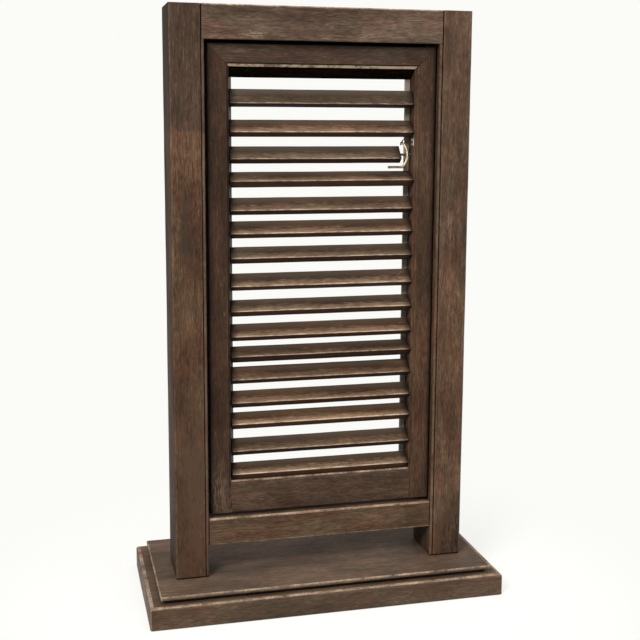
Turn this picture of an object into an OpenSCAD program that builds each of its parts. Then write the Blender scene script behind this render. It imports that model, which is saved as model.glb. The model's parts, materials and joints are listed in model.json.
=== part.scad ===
// Louvred shutter leaf in a standing frame. Loose slats turn on their own round end pintles,
// the leaf swings on two pins, and a bent wire hook hangs on a bar in front of the third slat.
// Millimetres. Z is up, the front faces -Y, the origin is at the middle of the base's underside.

/* [Base] */
// Width of the step at each end of the lower base board
step_side = 11; // [6:0.5:20]
// Depth of the lower base board, front to back
base_d = 164; // [140:1:200]
// Thickness of the lower base board
base_h = 22.5; // [16:0.5:32]
// Radius along the upper edges of the lower board
base_round = 2.6; // [1:0.1:5]
// Distance the upper base board reaches past each post
plinth_side = 19.7; // [10:0.1:40]
// Width of the step before and behind the upper base board
step_front = 7; // [4:0.5:14]
// Thickness of the upper base board
plinth_h = 8; // [5:0.5:14]
// Radius along the upper edges of the upper board
plinth_round = 0.7; // [0.3:0.1:2]
// Radius of the hollow moulding under the edges of the upper board
plinth_cove = 4.6; // [2:0.1:5]
// Distance from the front of the base to the front faces of the posts
frame_set = 45; // [35:1:60]

/* [Frame] */
// Height of the whole object
total_h = 600; // [560:1:680]
// Width of the frame over both posts
frame_w = 304.6; // [296:0.2:310]
// Width of a post, bead included
post_w = 33.7; // [28:0.1:36]
// Depth of a post, front to back
post_d = 53.4; // [44:0.2:64]
// Radius on the outer front edge of a post
post_round = 1.4; // [0.5:0.1:3]
// Width of the round bead on the inner front edge of a post
bead_w = 2.8; // [2:0.1:4]
// Width of the groove beside the bead
quirk_w = 0.9; // [0.5:0.1:1.5]
// Depth of the groove beside the bead
quirk_d = 2.4; // [1.6:0.1:3]
// Height of the head rail
head_h = 33; // [26:0.2:40]
// Radius on the front edges of the head rail
head_round = 1.0; // [0.4:0.1:2]
// Height of the sill rail
sill_h = 28.1; // [24:0.1:36]
// Depth of the sill rail
sill_d = 42; // [36:1:48]
// Distance the sill rail sits behind the posts' front
sill_set = 2.1; // [1:0.1:5]
// Open height between the base and the sill rail
sill_lift = 32.6; // [20:0.2:40]
// Radius on the upper front edge of the sill rail
sill_round = 1.6; // [0.5:0.1:3]
// Length of the tenons on the frame's rails
rail_tenon_l = 14; // [8:1:20]
// Thickness of the tenons on the frame's rails
rail_tenon_t = 14; // [8:1:20]
// Height of the tenons on the frame's rails
rail_tenon_h = 18; // [12:1:22]
// Length of the tenon under a post
post_tenon_l = 16; // [12:1:20]
// Width of the tenon under a post
post_tenon_w = 18; // [12:1:22]
// Depth of the tenon under a post, front to back
post_tenon_d = 34; // [24:1:40]
// Free space around a tenon in its mortise
joint_clear = 0.1; // [0.05:0.05:0.3]

/* [Leaf] */
// Gap between the leaf and the post on the swinging side
leaf_gap_free = 2.6; // [1.6:0.1:4]
// Gap between the leaf and the post on the pinned side
leaf_gap_pin = 1.0; // [0.6:0.1:2]
// Gap over the leaf
leaf_gap_top = 3; // [2:0.1:6]
// Gap under the leaf
leaf_gap_bottom = 3.8; // [2.6:0.1:6]
// Distance the leaf sits behind the posts' front
leaf_set = 6; // [4:0.2:9]
// Thickness of the leaf
leaf_d = 21; // [19:0.2:25]
// Width of a leaf stile
stile_w = 22; // [18:0.2:25]
// Height of the leaf's top rail
leaf_top_h = 21.7; // [17:0.2:26]
// Height of the leaf's bottom rail
leaf_bottom_h = 33; // [27:0.2:38]
// Chamfer along the inner front edges of the leaf
leaf_chamfer = 3.0; // [1.5:0.1:4]
// Radius on the outer front edges of the leaf
leaf_round = 2.2; // [0.8:0.1:4]
// Length of the tenons on the leaf's bottom rail
leaf_tenon_l = 12; // [8:1:15]
// Thickness of the tenons on the leaf's bottom rail
leaf_tenon_t = 6; // [4:0.5:8]
// Height of the tenons on the leaf's bottom rail
leaf_tenon_h = 18; // [12:1:24]
// Distance from the leaf's front to the middle of its tenons
leaf_tenon_set = 10.5; // [8:0.5:12]
// Width of the stop beads behind the slats
stop_w = 5.0; // [3:0.1:7]
// Thickness of the stop beads, front to back
stop_t = 3.7; // [2.6:0.1:3.9]
// Height of the splayed stop under the top rail
stop_top_h = 9.6; // [6:0.1:14]

/* [Slats] */
// Width of a slat, front edge to rear edge
slat_w = 16; // [12:0.2:16.4]
// Thickness of a slat
slat_t = 8.2; // [5:0.1:8.6]
// Radius along a slat's edges
slat_round = 1.1; // [0.4:0.1:1.6]
// Gap between a slat's end and the stile
slat_end_gap = 1.2; // [0.6:0.1:1.8]
// Distance from the leaf's front to the slats' pintles
slat_set = 8.4; // [8:0.1:8.6]
// Open height over the first place in the row of slats
row_top_gap = 31.2; // [22:0.2:40]
// Open height under the last place in the row of slats
row_bottom_gap = 4.3; // [3.6:0.1:10]
// Radius of the round pintles on a slat's ends
pintle_r = 1.2; // [0.8:0.1:1.6]
// Length of a pintle inside the stile
pintle_in = 4; // [3:0.5:6]
// Free space around a pintle in its hole
pintle_clear = 0.06; // [0.02:0.01:0.1]
// Free length past the end of a pintle in its hole
pintle_end_clear = 0.5; // [0.2:0.1:1]
// Length cut from the right end of the third slat to clear the hook
slat_short = 12.4; // [10:0.2:18]

/* [Leaf pins] */
// Radius of the pins that the leaf swings on
pin_r = 1.5; // [1:0.1:2]
// Free space around a leaf pin in its hole
pin_clear = 0.06; // [0.02:0.01:0.1]
// Distance from a leaf pin's axis to the leaf's edge and back
pin_edge = 4; // [3:0.2:6]
// Length of a leaf pin inside the leaf
pin_in_leaf = 10; // [6:1:14]
// Length of a leaf pin inside the rail
pin_in_rail = 9; // [6:1:14]
// Radius of the collar that carries the leaf
collar_r = 3.6; // [2.6:0.1:4.4]
// Free height between the collar and the leaf
collar_clear = 0.3; // [0.1:0.1:0.6]

/* [Hook] */
// Distance from the leaf's front to the hook's bar
bar_set = 5.0; // [4:0.1:5.2]
// Radius of the hook's bar
bar_r = 0.7; // [0.5:0.05:0.9]
// Length of the bar inside the stile
bar_in = 5; // [3:0.5:8]
// Reach of the bar from the stile to the axis of its turned end
bar_reach = 13.2; // [12.8:0.1:16]
// Radius of the bend at the bar's end
bar_bend = 1.5; // [1:0.1:2]
// Length of the bar's turned-down end
bar_drop = 1.6; // [0.5:0.1:2]
// Width and height of the square plate round the bar
plate_w = 7; // [4:0.2:7.4]
// Thickness of the plate round the bar
plate_t = 0.8; // [0.5:0.1:1.2]
// Free space around the bar in its holes
bar_clear = 0.05; // [0.02:0.01:0.1]
// Radius of the hook's wire
hook_r = 1.2; // [0.8:0.05:1.3]
// Radius of the wire in the hook's ring
ring_r = 0.95; // [0.6:0.05:1.2]
// Free space between the hook's ring and the bar
ring_clear = 0.08; // [0.03:0.01:0.1]
// Distance from the bend's axis back to the hook's ring
ring_back = 2.4; // [2.3:0.1:4]
// Sideways bulge of the hook's curved shank
hook_bulge = 4.4; // [2:0.1:5]
// Length of the hook's straight tail
hook_tail = 14.5; // [8:0.5:20]
// Radius of the ball on the tail's end
tail_ball_r = 1.4; // [1.2:0.05:1.6]

/* [Base screws] */
// Radius of a base screw's shank
screw_r = 1.9; // [1.4:0.1:2.5]
// Radius of a base screw's head
screw_head_r = 3.8; // [3:0.1:5]
// Height of a base screw's countersunk head
screw_head_h = 2.6; // [1.8:0.1:3.5]
// Whole length of a base screw
screw_l = 32; // [28:1:40]
// Depth of the head below the base's underside
screw_sink = 0.8; // [0.4:0.1:2]
// Distance between the two screws under a post
screw_gap = 18; // [12:1:24]
// Free space around a screw in its hole
screw_clear = 0.05; // [0.02:0.01:0.2]

/* [Hidden] */
$fn = 48;
// Overrun of every cut past the face that it opens
over = base_h / 20;

// Each slat's tilt from level, front edge low, as the loose slats stand
slat_tilts = [60, 49, 50, 33, 50, 49, 41, 51, 40, 47, 31, 47, 41, 39, 44, 35];
// Each slat's shift from an even row, as a share of the pitch, upwards
slat_shift_shares = [0.05, -0.11, -0.14, -0.1, -0.14, -0.06, -0.07, -0.13,
                     -0.18, -0.16, -0.05, 0.1, 0.12, 0.23, 0.15, 0.14];
// Place in the row of the slat that the hook hangs before, counted from zero
hook_slat = 2;
// Share of a mitre's length that its cut runs past both ends
mitre_share = 0.2;
// Share of the plate's width that lies in front of the bar
plate_front_share = 0.3;

// Height of the hook's bar and of its tail between two slats, as shares of their spacing
bar_rise_share = 0.49;
tail_rise_share = 0.485;

// Frame positions
plinth_w = frame_w + 2 * plinth_side;
plinth_d = base_d - 2 * step_front;
base_w = plinth_w + 2 * step_side;
front_y = -base_d / 2 + frame_set;
top_base_z = base_h + plinth_h;
inner_x = frame_w / 2 - post_w;
rebate_x = inner_x + bead_w + quirk_w;
post_mid_x = (rebate_x + frame_w / 2) / 2;
post_mid_y = front_y + post_d / 2;
head_z = total_h - head_h;
sill_z = top_base_z + sill_lift;
sill_top_z = sill_z + sill_h;
sill_y = front_y + sill_set;

// Leaf positions
leaf_x0 = -inner_x + leaf_gap_free;
leaf_x1 = inner_x - leaf_gap_pin;
leaf_z0 = sill_top_z + leaf_gap_bottom;
leaf_z1 = head_z - leaf_gap_top;
leaf_y0 = front_y + leaf_set;
leaf_y1 = leaf_y0 + leaf_d;
open_x0 = leaf_x0 + stile_w;
open_x1 = leaf_x1 - stile_w;
open_z0 = leaf_z0 + leaf_bottom_h;
open_z1 = leaf_z1 - leaf_top_h;
open_w = open_x1 - open_x0;
stop_y = leaf_y1 - stop_t;
pin_x = leaf_x1 - pin_edge;
pin_y = leaf_y1 - pin_edge;

// Slat positions
slat_count = len(slat_tilts);
slat_y = leaf_y0 + slat_set;
row_top_z = open_z1 - row_top_gap;
slat_pitch = (row_top_z - open_z0 - row_bottom_gap) / (slat_count - 1);
slat_l = open_w - 2 * slat_end_gap;
function slat_z(i) = row_top_z + (slat_shift_shares[i] - i) * slat_pitch;
// Height at a share of the way from one slat's pintles up to the next slat's
function between_slats(i, share) = slat_z(i) + share * (slat_z(i - 1) - slat_z(i));

// Hook positions
bar_y = leaf_y0 + bar_set;
bar_z = between_slats(hook_slat, bar_rise_share);
hook_fall = bar_z - between_slats(hook_slat + 1, tail_rise_share);
ring_mid_r = bar_r + ring_clear + ring_r;
hook_x = open_x1 - bar_reach + ring_back;
hook_chord = hook_fall - ring_mid_r;
hook_arc_r = (hook_chord * hook_chord / 4 + hook_bulge * hook_bulge) / (2 * hook_bulge);
hook_half_deg = asin(hook_chord / 2 / hook_arc_r);

// A section standing in Y and Z, drawn out along +X for a length
module along_x(l) { rotate([90, 0, 90]) linear_extrude(l) children(); }

// A section standing in X and Z, drawn out along +Y for a length
module along_y(l) { translate([0, l, 0]) rotate([90, 0, 0]) linear_extrude(l) children(); }

// Side view of a board with round upper edges and, where a cove is given, hollow lower ones
module eased_side(s, h, r, cove) {
  difference() {
    union() {
      translate([-s / 2, 0]) square([s, h - r]);
      translate([-s / 2 + r, 0]) square([s - 2 * r, h]);
      for (m = [-1, 1]) translate([m * (s / 2 - r), h - r]) circle(r);
    }
    if (cove > 0) for (m = [-1, 1]) translate([m * s / 2, 0]) circle(cove);
  }
}

// A board with the same moulded edge along all four sides
module eased_board(w, d, h, r, cove) {
  intersection() {
    translate([-w / 2, 0, 0]) along_x(w) eased_side(d, h, r, cove);
    translate([0, -d / 2, 0]) along_y(d) eased_side(w, h, r, cove);
  }
}

// The hole for a post's tenon, down to a depth below the top of the base
module post_mortise(deep) {
  w = post_tenon_w + 2 * joint_clear;
  d = post_tenon_d + 2 * joint_clear;
  for (m = [-1, 1])
    translate([m * post_mid_x - w / 2, post_mid_y - d / 2, top_base_z - deep])
      cube([w, d, deep + over]);
}

// Both screws under one post, or the holes for them
module screw_pair(gap) {
  for (m = [-1, 1]) translate([0, post_mid_y + m * screw_gap / 2, 0]) {
    translate([0, 0, screw_sink]) cylinder(h = screw_l + gap, r = screw_r + gap);
    translate([0, 0, screw_sink])
      cylinder(h = screw_head_h, r1 = screw_head_r + gap, r2 = screw_r + gap);
    if (gap > 0) translate([0, 0, -over]) cylinder(h = over + screw_sink, r = screw_head_r + gap);
  }
}

module base_lower() color("#5b473a") difference() {
  eased_board(base_w, base_d, base_h, base_round, 0);
  post_mortise(post_tenon_l + joint_clear);
  for (m = [-1, 1]) translate([m * post_mid_x, 0, 0]) screw_pair(screw_clear);
}

module base_upper() color("#6a5648") difference() {
  translate([0, 0, base_h]) eased_board(plinth_w, plinth_d, plinth_h, plinth_round, plinth_cove);
  post_mortise(plinth_h + over);
}

module base_screws() color("#8c8c8a")
  for (m = [-1, 1]) translate([m * post_mid_x, 0, 0]) screw_pair(0);

// The corner taken off the post's outer front edge, before it is rounded
module post_corner() {
  s = post_round + over;
  translate([frame_w / 2 - post_round, front_y - over]) square([s, s]);
}

// Plan of the right post where it carries the bead
module post_plan() {
  difference() {
    translate([inner_x, front_y]) square([post_w, post_d]);
    translate([inner_x - over, front_y - over]) square([bead_w + over, bead_w / 2 + over]);
    translate([inner_x + bead_w, front_y - over]) square([quirk_w, quirk_d + over]);
    post_corner();
  }
  translate([inner_x + bead_w / 2, front_y + bead_w / 2]) circle(bead_w / 2);
  translate([frame_w / 2 - post_round, front_y + post_round]) circle(post_round);
}

// Plan of the right post beside the head rail
module post_head_plan() {
  difference() {
    translate([rebate_x, front_y]) square([frame_w / 2 - rebate_x, post_d]);
    post_corner();
  }
  translate([frame_w / 2 - post_round, front_y + post_round]) circle(post_round);
}

// The tenon of a rail, pointing to +X from a shoulder, or the mortise for it
module rail_tenon(x, y, z, gap) {
  start = gap > 0 ? over : 0;
  translate([x - start, y - rail_tenon_t / 2 - gap, z - rail_tenon_h / 2 - gap])
    cube([rail_tenon_l + gap + start, rail_tenon_t + 2 * gap, rail_tenon_h + 2 * gap]);
}

module right_post() difference() {
  union() {
    translate([0, 0, top_base_z]) linear_extrude(head_z - top_base_z) post_plan();
    translate([0, 0, head_z]) linear_extrude(head_h) post_head_plan();
    translate([post_mid_x - post_tenon_w / 2, post_mid_y - post_tenon_d / 2, top_base_z])
      mirror([0, 0, 1]) cube([post_tenon_w, post_tenon_d, post_tenon_l]);
  }
  rail_tenon(rebate_x, post_mid_y, head_z + head_h / 2, joint_clear);
  rail_tenon(inner_x, sill_y + sill_d / 2, sill_z + sill_h / 2, joint_clear);
  translate([post_mid_x, 0, 0]) screw_pair(screw_clear);
}

module post_right() color("#6b5340") right_post();

module post_left() color("#6b5340") mirror([1, 0, 0]) right_post();

// Side view of the head rail with eased front edges
module head_side() {
  translate([front_y + head_round, head_z]) square([post_d - head_round, head_h]);
  translate([front_y, head_z + head_round]) square([post_d, head_h - 2 * head_round]);
  for (z = [head_z + head_round, total_h - head_round])
    translate([front_y + head_round, z]) circle(head_round);
}

module head_rail() color("#66503f") difference() {
  union() {
    translate([-rebate_x, 0, 0]) along_x(2 * rebate_x) head_side();
    for (m = [0, 1]) mirror([m, 0, 0]) rail_tenon(rebate_x, post_mid_y, head_z + head_h / 2, 0);
  }
  translate([pin_x, pin_y, head_z - over]) cylinder(h = pin_in_rail + over, r = pin_r);
}

// Side view of the sill rail with a round upper front edge
module sill_side() {
  translate([sill_y, sill_z]) square([sill_d, sill_h - sill_round]);
  translate([sill_y + sill_round, sill_z]) square([sill_d - sill_round, sill_h]);
  translate([sill_y + sill_round, sill_top_z - sill_round]) circle(sill_round);
}

module sill_rail() color("#64503f") difference() {
  union() {
    translate([-inner_x, 0, 0]) along_x(2 * inner_x) sill_side();
    for (m = [0, 1]) mirror([m, 0, 0])
      rail_tenon(inner_x, sill_y + sill_d / 2, sill_z + sill_h / 2, 0);
  }
  translate([pin_x, pin_y, sill_top_z - pin_in_rail]) cylinder(h = pin_in_rail + over, r = pin_r);
}

module leaf_pin_top() color("#3b3a38")
  translate([pin_x, pin_y, leaf_z1 - pin_in_leaf])
    cylinder(h = pin_in_leaf + leaf_gap_top + pin_in_rail, r = pin_r);

module leaf_pin_bottom() color("#3b3a38")
  translate([pin_x, pin_y, sill_top_z - pin_in_rail])
    cylinder(h = pin_in_rail + leaf_gap_bottom + pin_in_leaf, r = pin_r);

module leaf_collar() color("#3b3a38") difference() {
  translate([pin_x, pin_y, sill_top_z]) cylinder(h = leaf_gap_bottom - collar_clear, r = collar_r);
  translate([pin_x, pin_y, sill_top_z - over]) cylinder(h = leaf_gap_bottom + 2 * over, r = pin_r);
}

// The holes for both leaf pins
module leaf_pin_holes() {
  r = pin_r + pin_clear;
  l = pin_in_leaf + pin_clear;
  translate([pin_x, pin_y, leaf_z1 - l]) cylinder(h = l + over, r = r);
  translate([pin_x, pin_y, leaf_z0 - over]) cylinder(h = l + over, r = r);
}

// The holes for every slat's pintles in one stile, drilled from its inner face
module pintle_holes(x, way) {
  l = pintle_in + pintle_end_clear;
  for (i = [0 : slat_count - 1])
    translate([x - way * over, slat_y, slat_z(i)]) rotate([0, way * 90, 0])
      cylinder(h = l + over, r = pintle_r + pintle_clear);
}

// The wedge between a mitre and a stile's top, for the joint at the right
module mitre_wedge(upper) {
  e = mitre_share;
  ax = open_x1 - e * stile_w;
  az = open_z1 - e * leaf_top_h;
  bx = leaf_x1 + e * stile_w;
  bz = leaf_z1 + e * leaf_top_h;
  translate([0, leaf_y0 - over, 0]) along_y(leaf_d + 2 * over)
    polygon(upper ? [[ax, az], [bx, bz], [ax, bz]] : [[ax, az], [bx, az], [bx, bz]]);
}

// The same wedge for the joint at the left
module mitre_wedge_left(upper) {
  e = mitre_share;
  ax = open_x0 + e * stile_w;
  az = open_z1 - e * leaf_top_h;
  bx = leaf_x0 - e * stile_w;
  bz = leaf_z1 + e * leaf_top_h;
  translate([0, leaf_y0 - over, 0]) along_y(leaf_d + 2 * over)
    polygon(upper ? [[ax, az], [ax, bz], [bx, bz]] : [[ax, az], [bx, bz], [bx, az]]);
}

// The chamfer cut along a stile's inner front edge, over the opening
module stile_chamfer(x, way) {
  c = leaf_chamfer;
  translate([0, 0, open_z0]) linear_extrude(leaf_z1 - open_z0 + over)
    polygon([[x - way * over, leaf_y0 - over], [x + way * (c + over), leaf_y0 - over],
             [x - way * over, leaf_y0 + c + over]]);
}

// The mortise in a stile for the bottom rail's tenon, or the tenon
module leaf_tenon(x, way, gap) {
  l = leaf_tenon_l + gap + (gap > 0 ? over : 0);
  x0 = way > 0 ? x - (gap > 0 ? over : 0) : x - leaf_tenon_l - gap;
  translate([x0, leaf_y0 + leaf_tenon_set - leaf_tenon_t / 2 - gap,
             leaf_z0 + leaf_bottom_h / 2 - leaf_tenon_h / 2 - gap])
    cube([l, leaf_tenon_t + 2 * gap, leaf_tenon_h + 2 * gap]);
}

// Plan of the left stile with a round outer front edge
module stile_left_plan() {
  translate([leaf_x0 + leaf_round, leaf_y0]) square([stile_w - leaf_round, leaf_d]);
  translate([leaf_x0, leaf_y0 + leaf_round]) square([stile_w, leaf_d - leaf_round]);
  translate([leaf_x0 + leaf_round, leaf_y0 + leaf_round]) circle(leaf_round);
}

module leaf_stile_left() color("#4d3c33") difference() {
  translate([0, 0, leaf_z0]) linear_extrude(leaf_z1 - leaf_z0) stile_left_plan();
  stile_chamfer(open_x0, -1);
  mitre_wedge_left(true);
  leaf_tenon(open_x0, -1, joint_clear);
  pintle_holes(open_x0, -1);
}

// Plan of the right stile: the rear outer edge is round about the leaf's pins
module stile_right_plan() {
  w = stile_w;
  translate([open_x1, leaf_y0]) square([w - leaf_round, leaf_d - pin_edge]);
  translate([open_x1, leaf_y0 + leaf_round]) square([w, leaf_d - pin_edge - leaf_round]);
  translate([open_x1, leaf_y0]) square([w - pin_edge, leaf_d]);
  translate([leaf_x1 - leaf_round, leaf_y0 + leaf_round]) circle(leaf_round);
  translate([pin_x, pin_y]) circle(pin_edge);
}

module leaf_stile_right() color("#4d3c33") difference() {
  translate([0, 0, leaf_z0]) linear_extrude(leaf_z1 - leaf_z0) stile_right_plan();
  stile_chamfer(open_x1, 1);
  mitre_wedge(true);
  leaf_tenon(open_x1, 1, joint_clear);
  pintle_holes(open_x1, 1);
  leaf_pin_holes();
  translate([open_x1 - over, bar_y, bar_z]) rotate([0, 90, 0])
    cylinder(h = bar_in + bar_clear + over, r = bar_r + bar_clear);
}

module leaf_top_rail() color("#4b3a31") difference() {
  translate([0, 0, open_z1]) linear_extrude(leaf_top_h) {
    stile_left_plan();
    translate([open_x0, leaf_y0]) square([open_w, leaf_d]);
    stile_right_plan();
  }
  mitre_wedge(false);
  mitre_wedge_left(false);
  translate([leaf_x0 - over, 0, 0]) along_x(leaf_x1 - leaf_x0 + 2 * over)
    polygon([[leaf_y0 - over, open_z1 - over], [leaf_y0 + leaf_chamfer + over, open_z1 - over],
             [leaf_y0 - over, open_z1 + leaf_chamfer + over]]);
  leaf_pin_holes();
}

module leaf_bottom_rail() color("#4b3a31") difference() {
  union() {
    translate([open_x0, leaf_y0, leaf_z0]) cube([open_w, leaf_d, leaf_bottom_h]);
    leaf_tenon(open_x0, -1, 0);
    leaf_tenon(open_x1, 1, 0);
  }
  translate([open_x0 - over, 0, 0]) along_x(open_w + 2 * over)
    polygon([[leaf_y0 - over, open_z0 + over], [leaf_y0 + leaf_chamfer + over, open_z0 + over],
             [leaf_y0 - over, open_z0 - leaf_chamfer - over]]);
}

// Upright strip behind the slats' ends, between the upper and the lower strip
module side_stop(x) {
  z0 = open_z0 + stop_w;
  z1 = open_z1 - stop_top_h;
  color("#57463b") translate([x, stop_y, z0]) cube([stop_w, stop_t, z1 - z0]);
}

module stop_left() side_stop(open_x0);

module stop_right() side_stop(open_x1 - stop_w);

module stop_top() color("#43342c")
  translate([open_x0, 0, 0]) along_x(open_w)
    polygon([[leaf_y0 + leaf_chamfer, open_z1], [leaf_y1, open_z1],
             [leaf_y1, open_z1 - stop_top_h], [stop_y, open_z1 - stop_top_h]]);

module stop_bottom() color("#57463b")
  translate([open_x0, stop_y, open_z0]) cube([open_w, stop_t, stop_w]);

// Section of a slat with four round edges
module slat_section() {
  r = slat_round;
  translate([-slat_w / 2 + r, -slat_t / 2]) square([slat_w - 2 * r, slat_t]);
  translate([-slat_w / 2, -slat_t / 2 + r]) square([slat_w, slat_t - 2 * r]);
  for (y = [-1, 1], z = [-1, 1]) translate([y * (slat_w / 2 - r), z * (slat_t / 2 - r)]) circle(r);
}

// One slat with its two pintles, cut short at the right where the hook hangs
module slat(i) {
  cut = i == hook_slat ? slat_short : 0;
  root = slat_w / 2;
  out = slat_end_gap + pintle_in;
  color("#6e5a4a") translate([open_x0, slat_y, slat_z(i)]) rotate([slat_tilts[i], 0, 0]) {
    translate([slat_end_gap, 0, 0]) along_x(slat_l - cut) slat_section();
    translate([-pintle_in, 0, 0]) rotate([0, 90, 0]) cylinder(h = out + root, r = pintle_r);
    translate([open_w - slat_end_gap - cut - root, 0, 0]) rotate([0, 90, 0])
      cylinder(h = root + cut + out, r = pintle_r);
  }
}

module slat_01() slat(0);
module slat_02() slat(1);
module slat_03() slat(2);
module slat_04() slat(3);
module slat_05() slat(4);
module slat_06() slat(5);
module slat_07() slat(6);
module slat_08() slat(7);
module slat_09() slat(8);
module slat_10() slat(9);
module slat_11() slat(10);
module slat_12() slat(11);
module slat_13() slat(12);
module slat_14() slat(13);
module slat_15() slat(14);
module slat_16() slat(15);

// Bar of wire out of the stile, its end turned down so that the hook stays on
module hook_bar() color("#3a3936") translate([open_x1 - bar_reach, bar_y, bar_z]) {
  translate([bar_bend, 0, 0]) rotate([0, 90, 0])
    cylinder(h = bar_reach - bar_bend + bar_in, r = bar_r);
  translate([bar_bend, 0, -bar_bend]) rotate([90, 0, 0]) rotate([0, 0, 90])
    rotate_extrude(angle = 90) translate([bar_bend, 0]) circle(bar_r);
  translate([0, 0, -bar_bend - bar_drop]) cylinder(h = bar_drop, r = bar_r);
}

module hook_plate() color("#a9a7a2") difference() {
  translate([open_x1 - plate_t, bar_y - plate_w * plate_front_share, bar_z - plate_w / 2])
    cube([plate_t, plate_w, plate_w]);
  translate([open_x1 - plate_t - over, bar_y, bar_z]) rotate([0, 90, 0])
    cylinder(h = plate_t + 2 * over, r = bar_r + bar_clear);
}

// Wire hook: a ring on the bar, a curved shank and a straight tail to the left
module hook() color("#b98b52") translate([hook_x, bar_y, bar_z]) {
  rotate([0, 90, 0]) rotate_extrude() translate([ring_mid_r, 0]) circle(ring_r);
  translate([hook_bulge - hook_arc_r, 0, -ring_mid_r - hook_chord / 2])
    rotate([90, 0, 0]) rotate([0, 0, -hook_half_deg])
      rotate_extrude(angle = 2 * hook_half_deg) translate([hook_arc_r, 0]) circle(hook_r);
  translate([0, 0, -hook_fall]) sphere(hook_r);
  translate([-hook_tail, 0, -hook_fall]) rotate([0, 90, 0]) cylinder(h = hook_tail, r = hook_r);
  translate([-hook_tail, 0, -hook_fall]) sphere(tail_ball_r);
}

base_lower();
base_upper();
post_left();
post_right();
head_rail();
sill_rail();
base_screws();
leaf_pin_top();
leaf_pin_bottom();
leaf_collar();
leaf_stile_left();
leaf_stile_right();
leaf_top_rail();
leaf_bottom_rail();
stop_left();
stop_right();
stop_top();
stop_bottom();
hook_bar();
hook_plate();
hook();
slat_01();
slat_02();
slat_03();
slat_04();
slat_05();
slat_06();
slat_07();
slat_08();
slat_09();
slat_10();
slat_11();
slat_12();
slat_13();
slat_14();
slat_15();
slat_16();
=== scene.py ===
import json
import math
from types import SimpleNamespace

import bmesh
import bpy
from bpy.props import FloatProperty, FloatVectorProperty, PointerProperty
from mathutils import Matrix, Vector, noise


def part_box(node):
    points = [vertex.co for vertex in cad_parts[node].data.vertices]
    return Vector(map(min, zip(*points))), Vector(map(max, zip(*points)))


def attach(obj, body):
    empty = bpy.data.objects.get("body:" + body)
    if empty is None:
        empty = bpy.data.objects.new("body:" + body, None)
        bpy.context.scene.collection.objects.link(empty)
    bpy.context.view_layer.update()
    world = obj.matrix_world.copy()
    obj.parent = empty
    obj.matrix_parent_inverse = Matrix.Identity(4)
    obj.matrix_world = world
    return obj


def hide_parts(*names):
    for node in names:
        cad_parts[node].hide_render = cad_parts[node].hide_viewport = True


bl_info = {
    "name": "Louvred shutter dresser",
    "version": (1, 0, 0),
    "blender": (4, 5, 0),
    "location": "View3D > Sidebar > Shutter",
    "description": "Dresses a standing louvred shutter in stained wood, brass and iron",
    "category": "Object",
}

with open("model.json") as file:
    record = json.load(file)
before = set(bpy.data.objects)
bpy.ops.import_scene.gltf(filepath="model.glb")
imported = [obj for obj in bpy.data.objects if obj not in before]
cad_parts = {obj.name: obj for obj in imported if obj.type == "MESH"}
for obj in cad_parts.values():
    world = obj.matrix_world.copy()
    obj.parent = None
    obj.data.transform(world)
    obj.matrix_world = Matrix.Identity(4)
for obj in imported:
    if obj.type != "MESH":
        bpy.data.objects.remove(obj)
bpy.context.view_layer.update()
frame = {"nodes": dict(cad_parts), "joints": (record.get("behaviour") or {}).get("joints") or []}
MM = 0.001


# Colours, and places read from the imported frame

def stain(red, green, blue):
    """A linear colour with full alpha from screen values of 0 to 255."""
    def linear(value):
        value /= 255
        return value / 12.92 if value <= 0.04045 else ((value + 0.055) / 1.055) ** 2.4
    return (linear(red), linear(green), linear(blue), 1.0)


def low(node):
    """The low corner of a solid's box."""
    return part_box(node)[0]


def high(node):
    """The high corner of a solid's box."""
    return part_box(node)[1]


def joint_of(body):
    """The joint that carries a body."""
    return next(joint for joint in frame["joints"] if joint["child"] == body)


SLATS = sorted(name for name in frame["nodes"] if name.startswith("slat_"))
HOOK_SLAT = "slat_03"


# Settings

def colour_setting(name, description, colour):
    return FloatVectorProperty(name=name, description=description, subtype="COLOR", size=4,
                               min=0, max=1, default=colour)


def length_setting(name, description, millimetres):
    return FloatProperty(name=name, description=description, unit="LENGTH", min=0,
                         default=millimetres * MM)


def angle_setting(name, description, radians):
    return FloatProperty(name=name, description=description, subtype="ANGLE", default=radians)


def power_setting(name, description, watts):
    return FloatProperty(name=name, description=description, unit="POWER", min=0, default=watts)


class WoodSettings(bpy.types.PropertyGroup):
    """Colours of the stained wood."""
    deep: colour_setting("Deep stain", "Darkest streaks of the grain", stain(55, 43, 36))
    middle: colour_setting("Middle stain", "Common tone of the wood", stain(106, 88, 75))
    pale: colour_setting("Pale streaks", "Lightest streaks of the grain", stain(146, 127, 111))
    # Also the tone of the painted highlight along the slats' upper front edges
    worn_and_highlight: colour_setting("Worn edges", "Bare tone where edges are rubbed", stain(190, 166, 143))
    # Dark of dirt in joints, also painted shade in recesses, under the head rail and beside the frame
    grime_and_shade: colour_setting("Grime and shade", "Dirt and stain that settles in grooves", stain(12, 8, 5))


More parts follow.
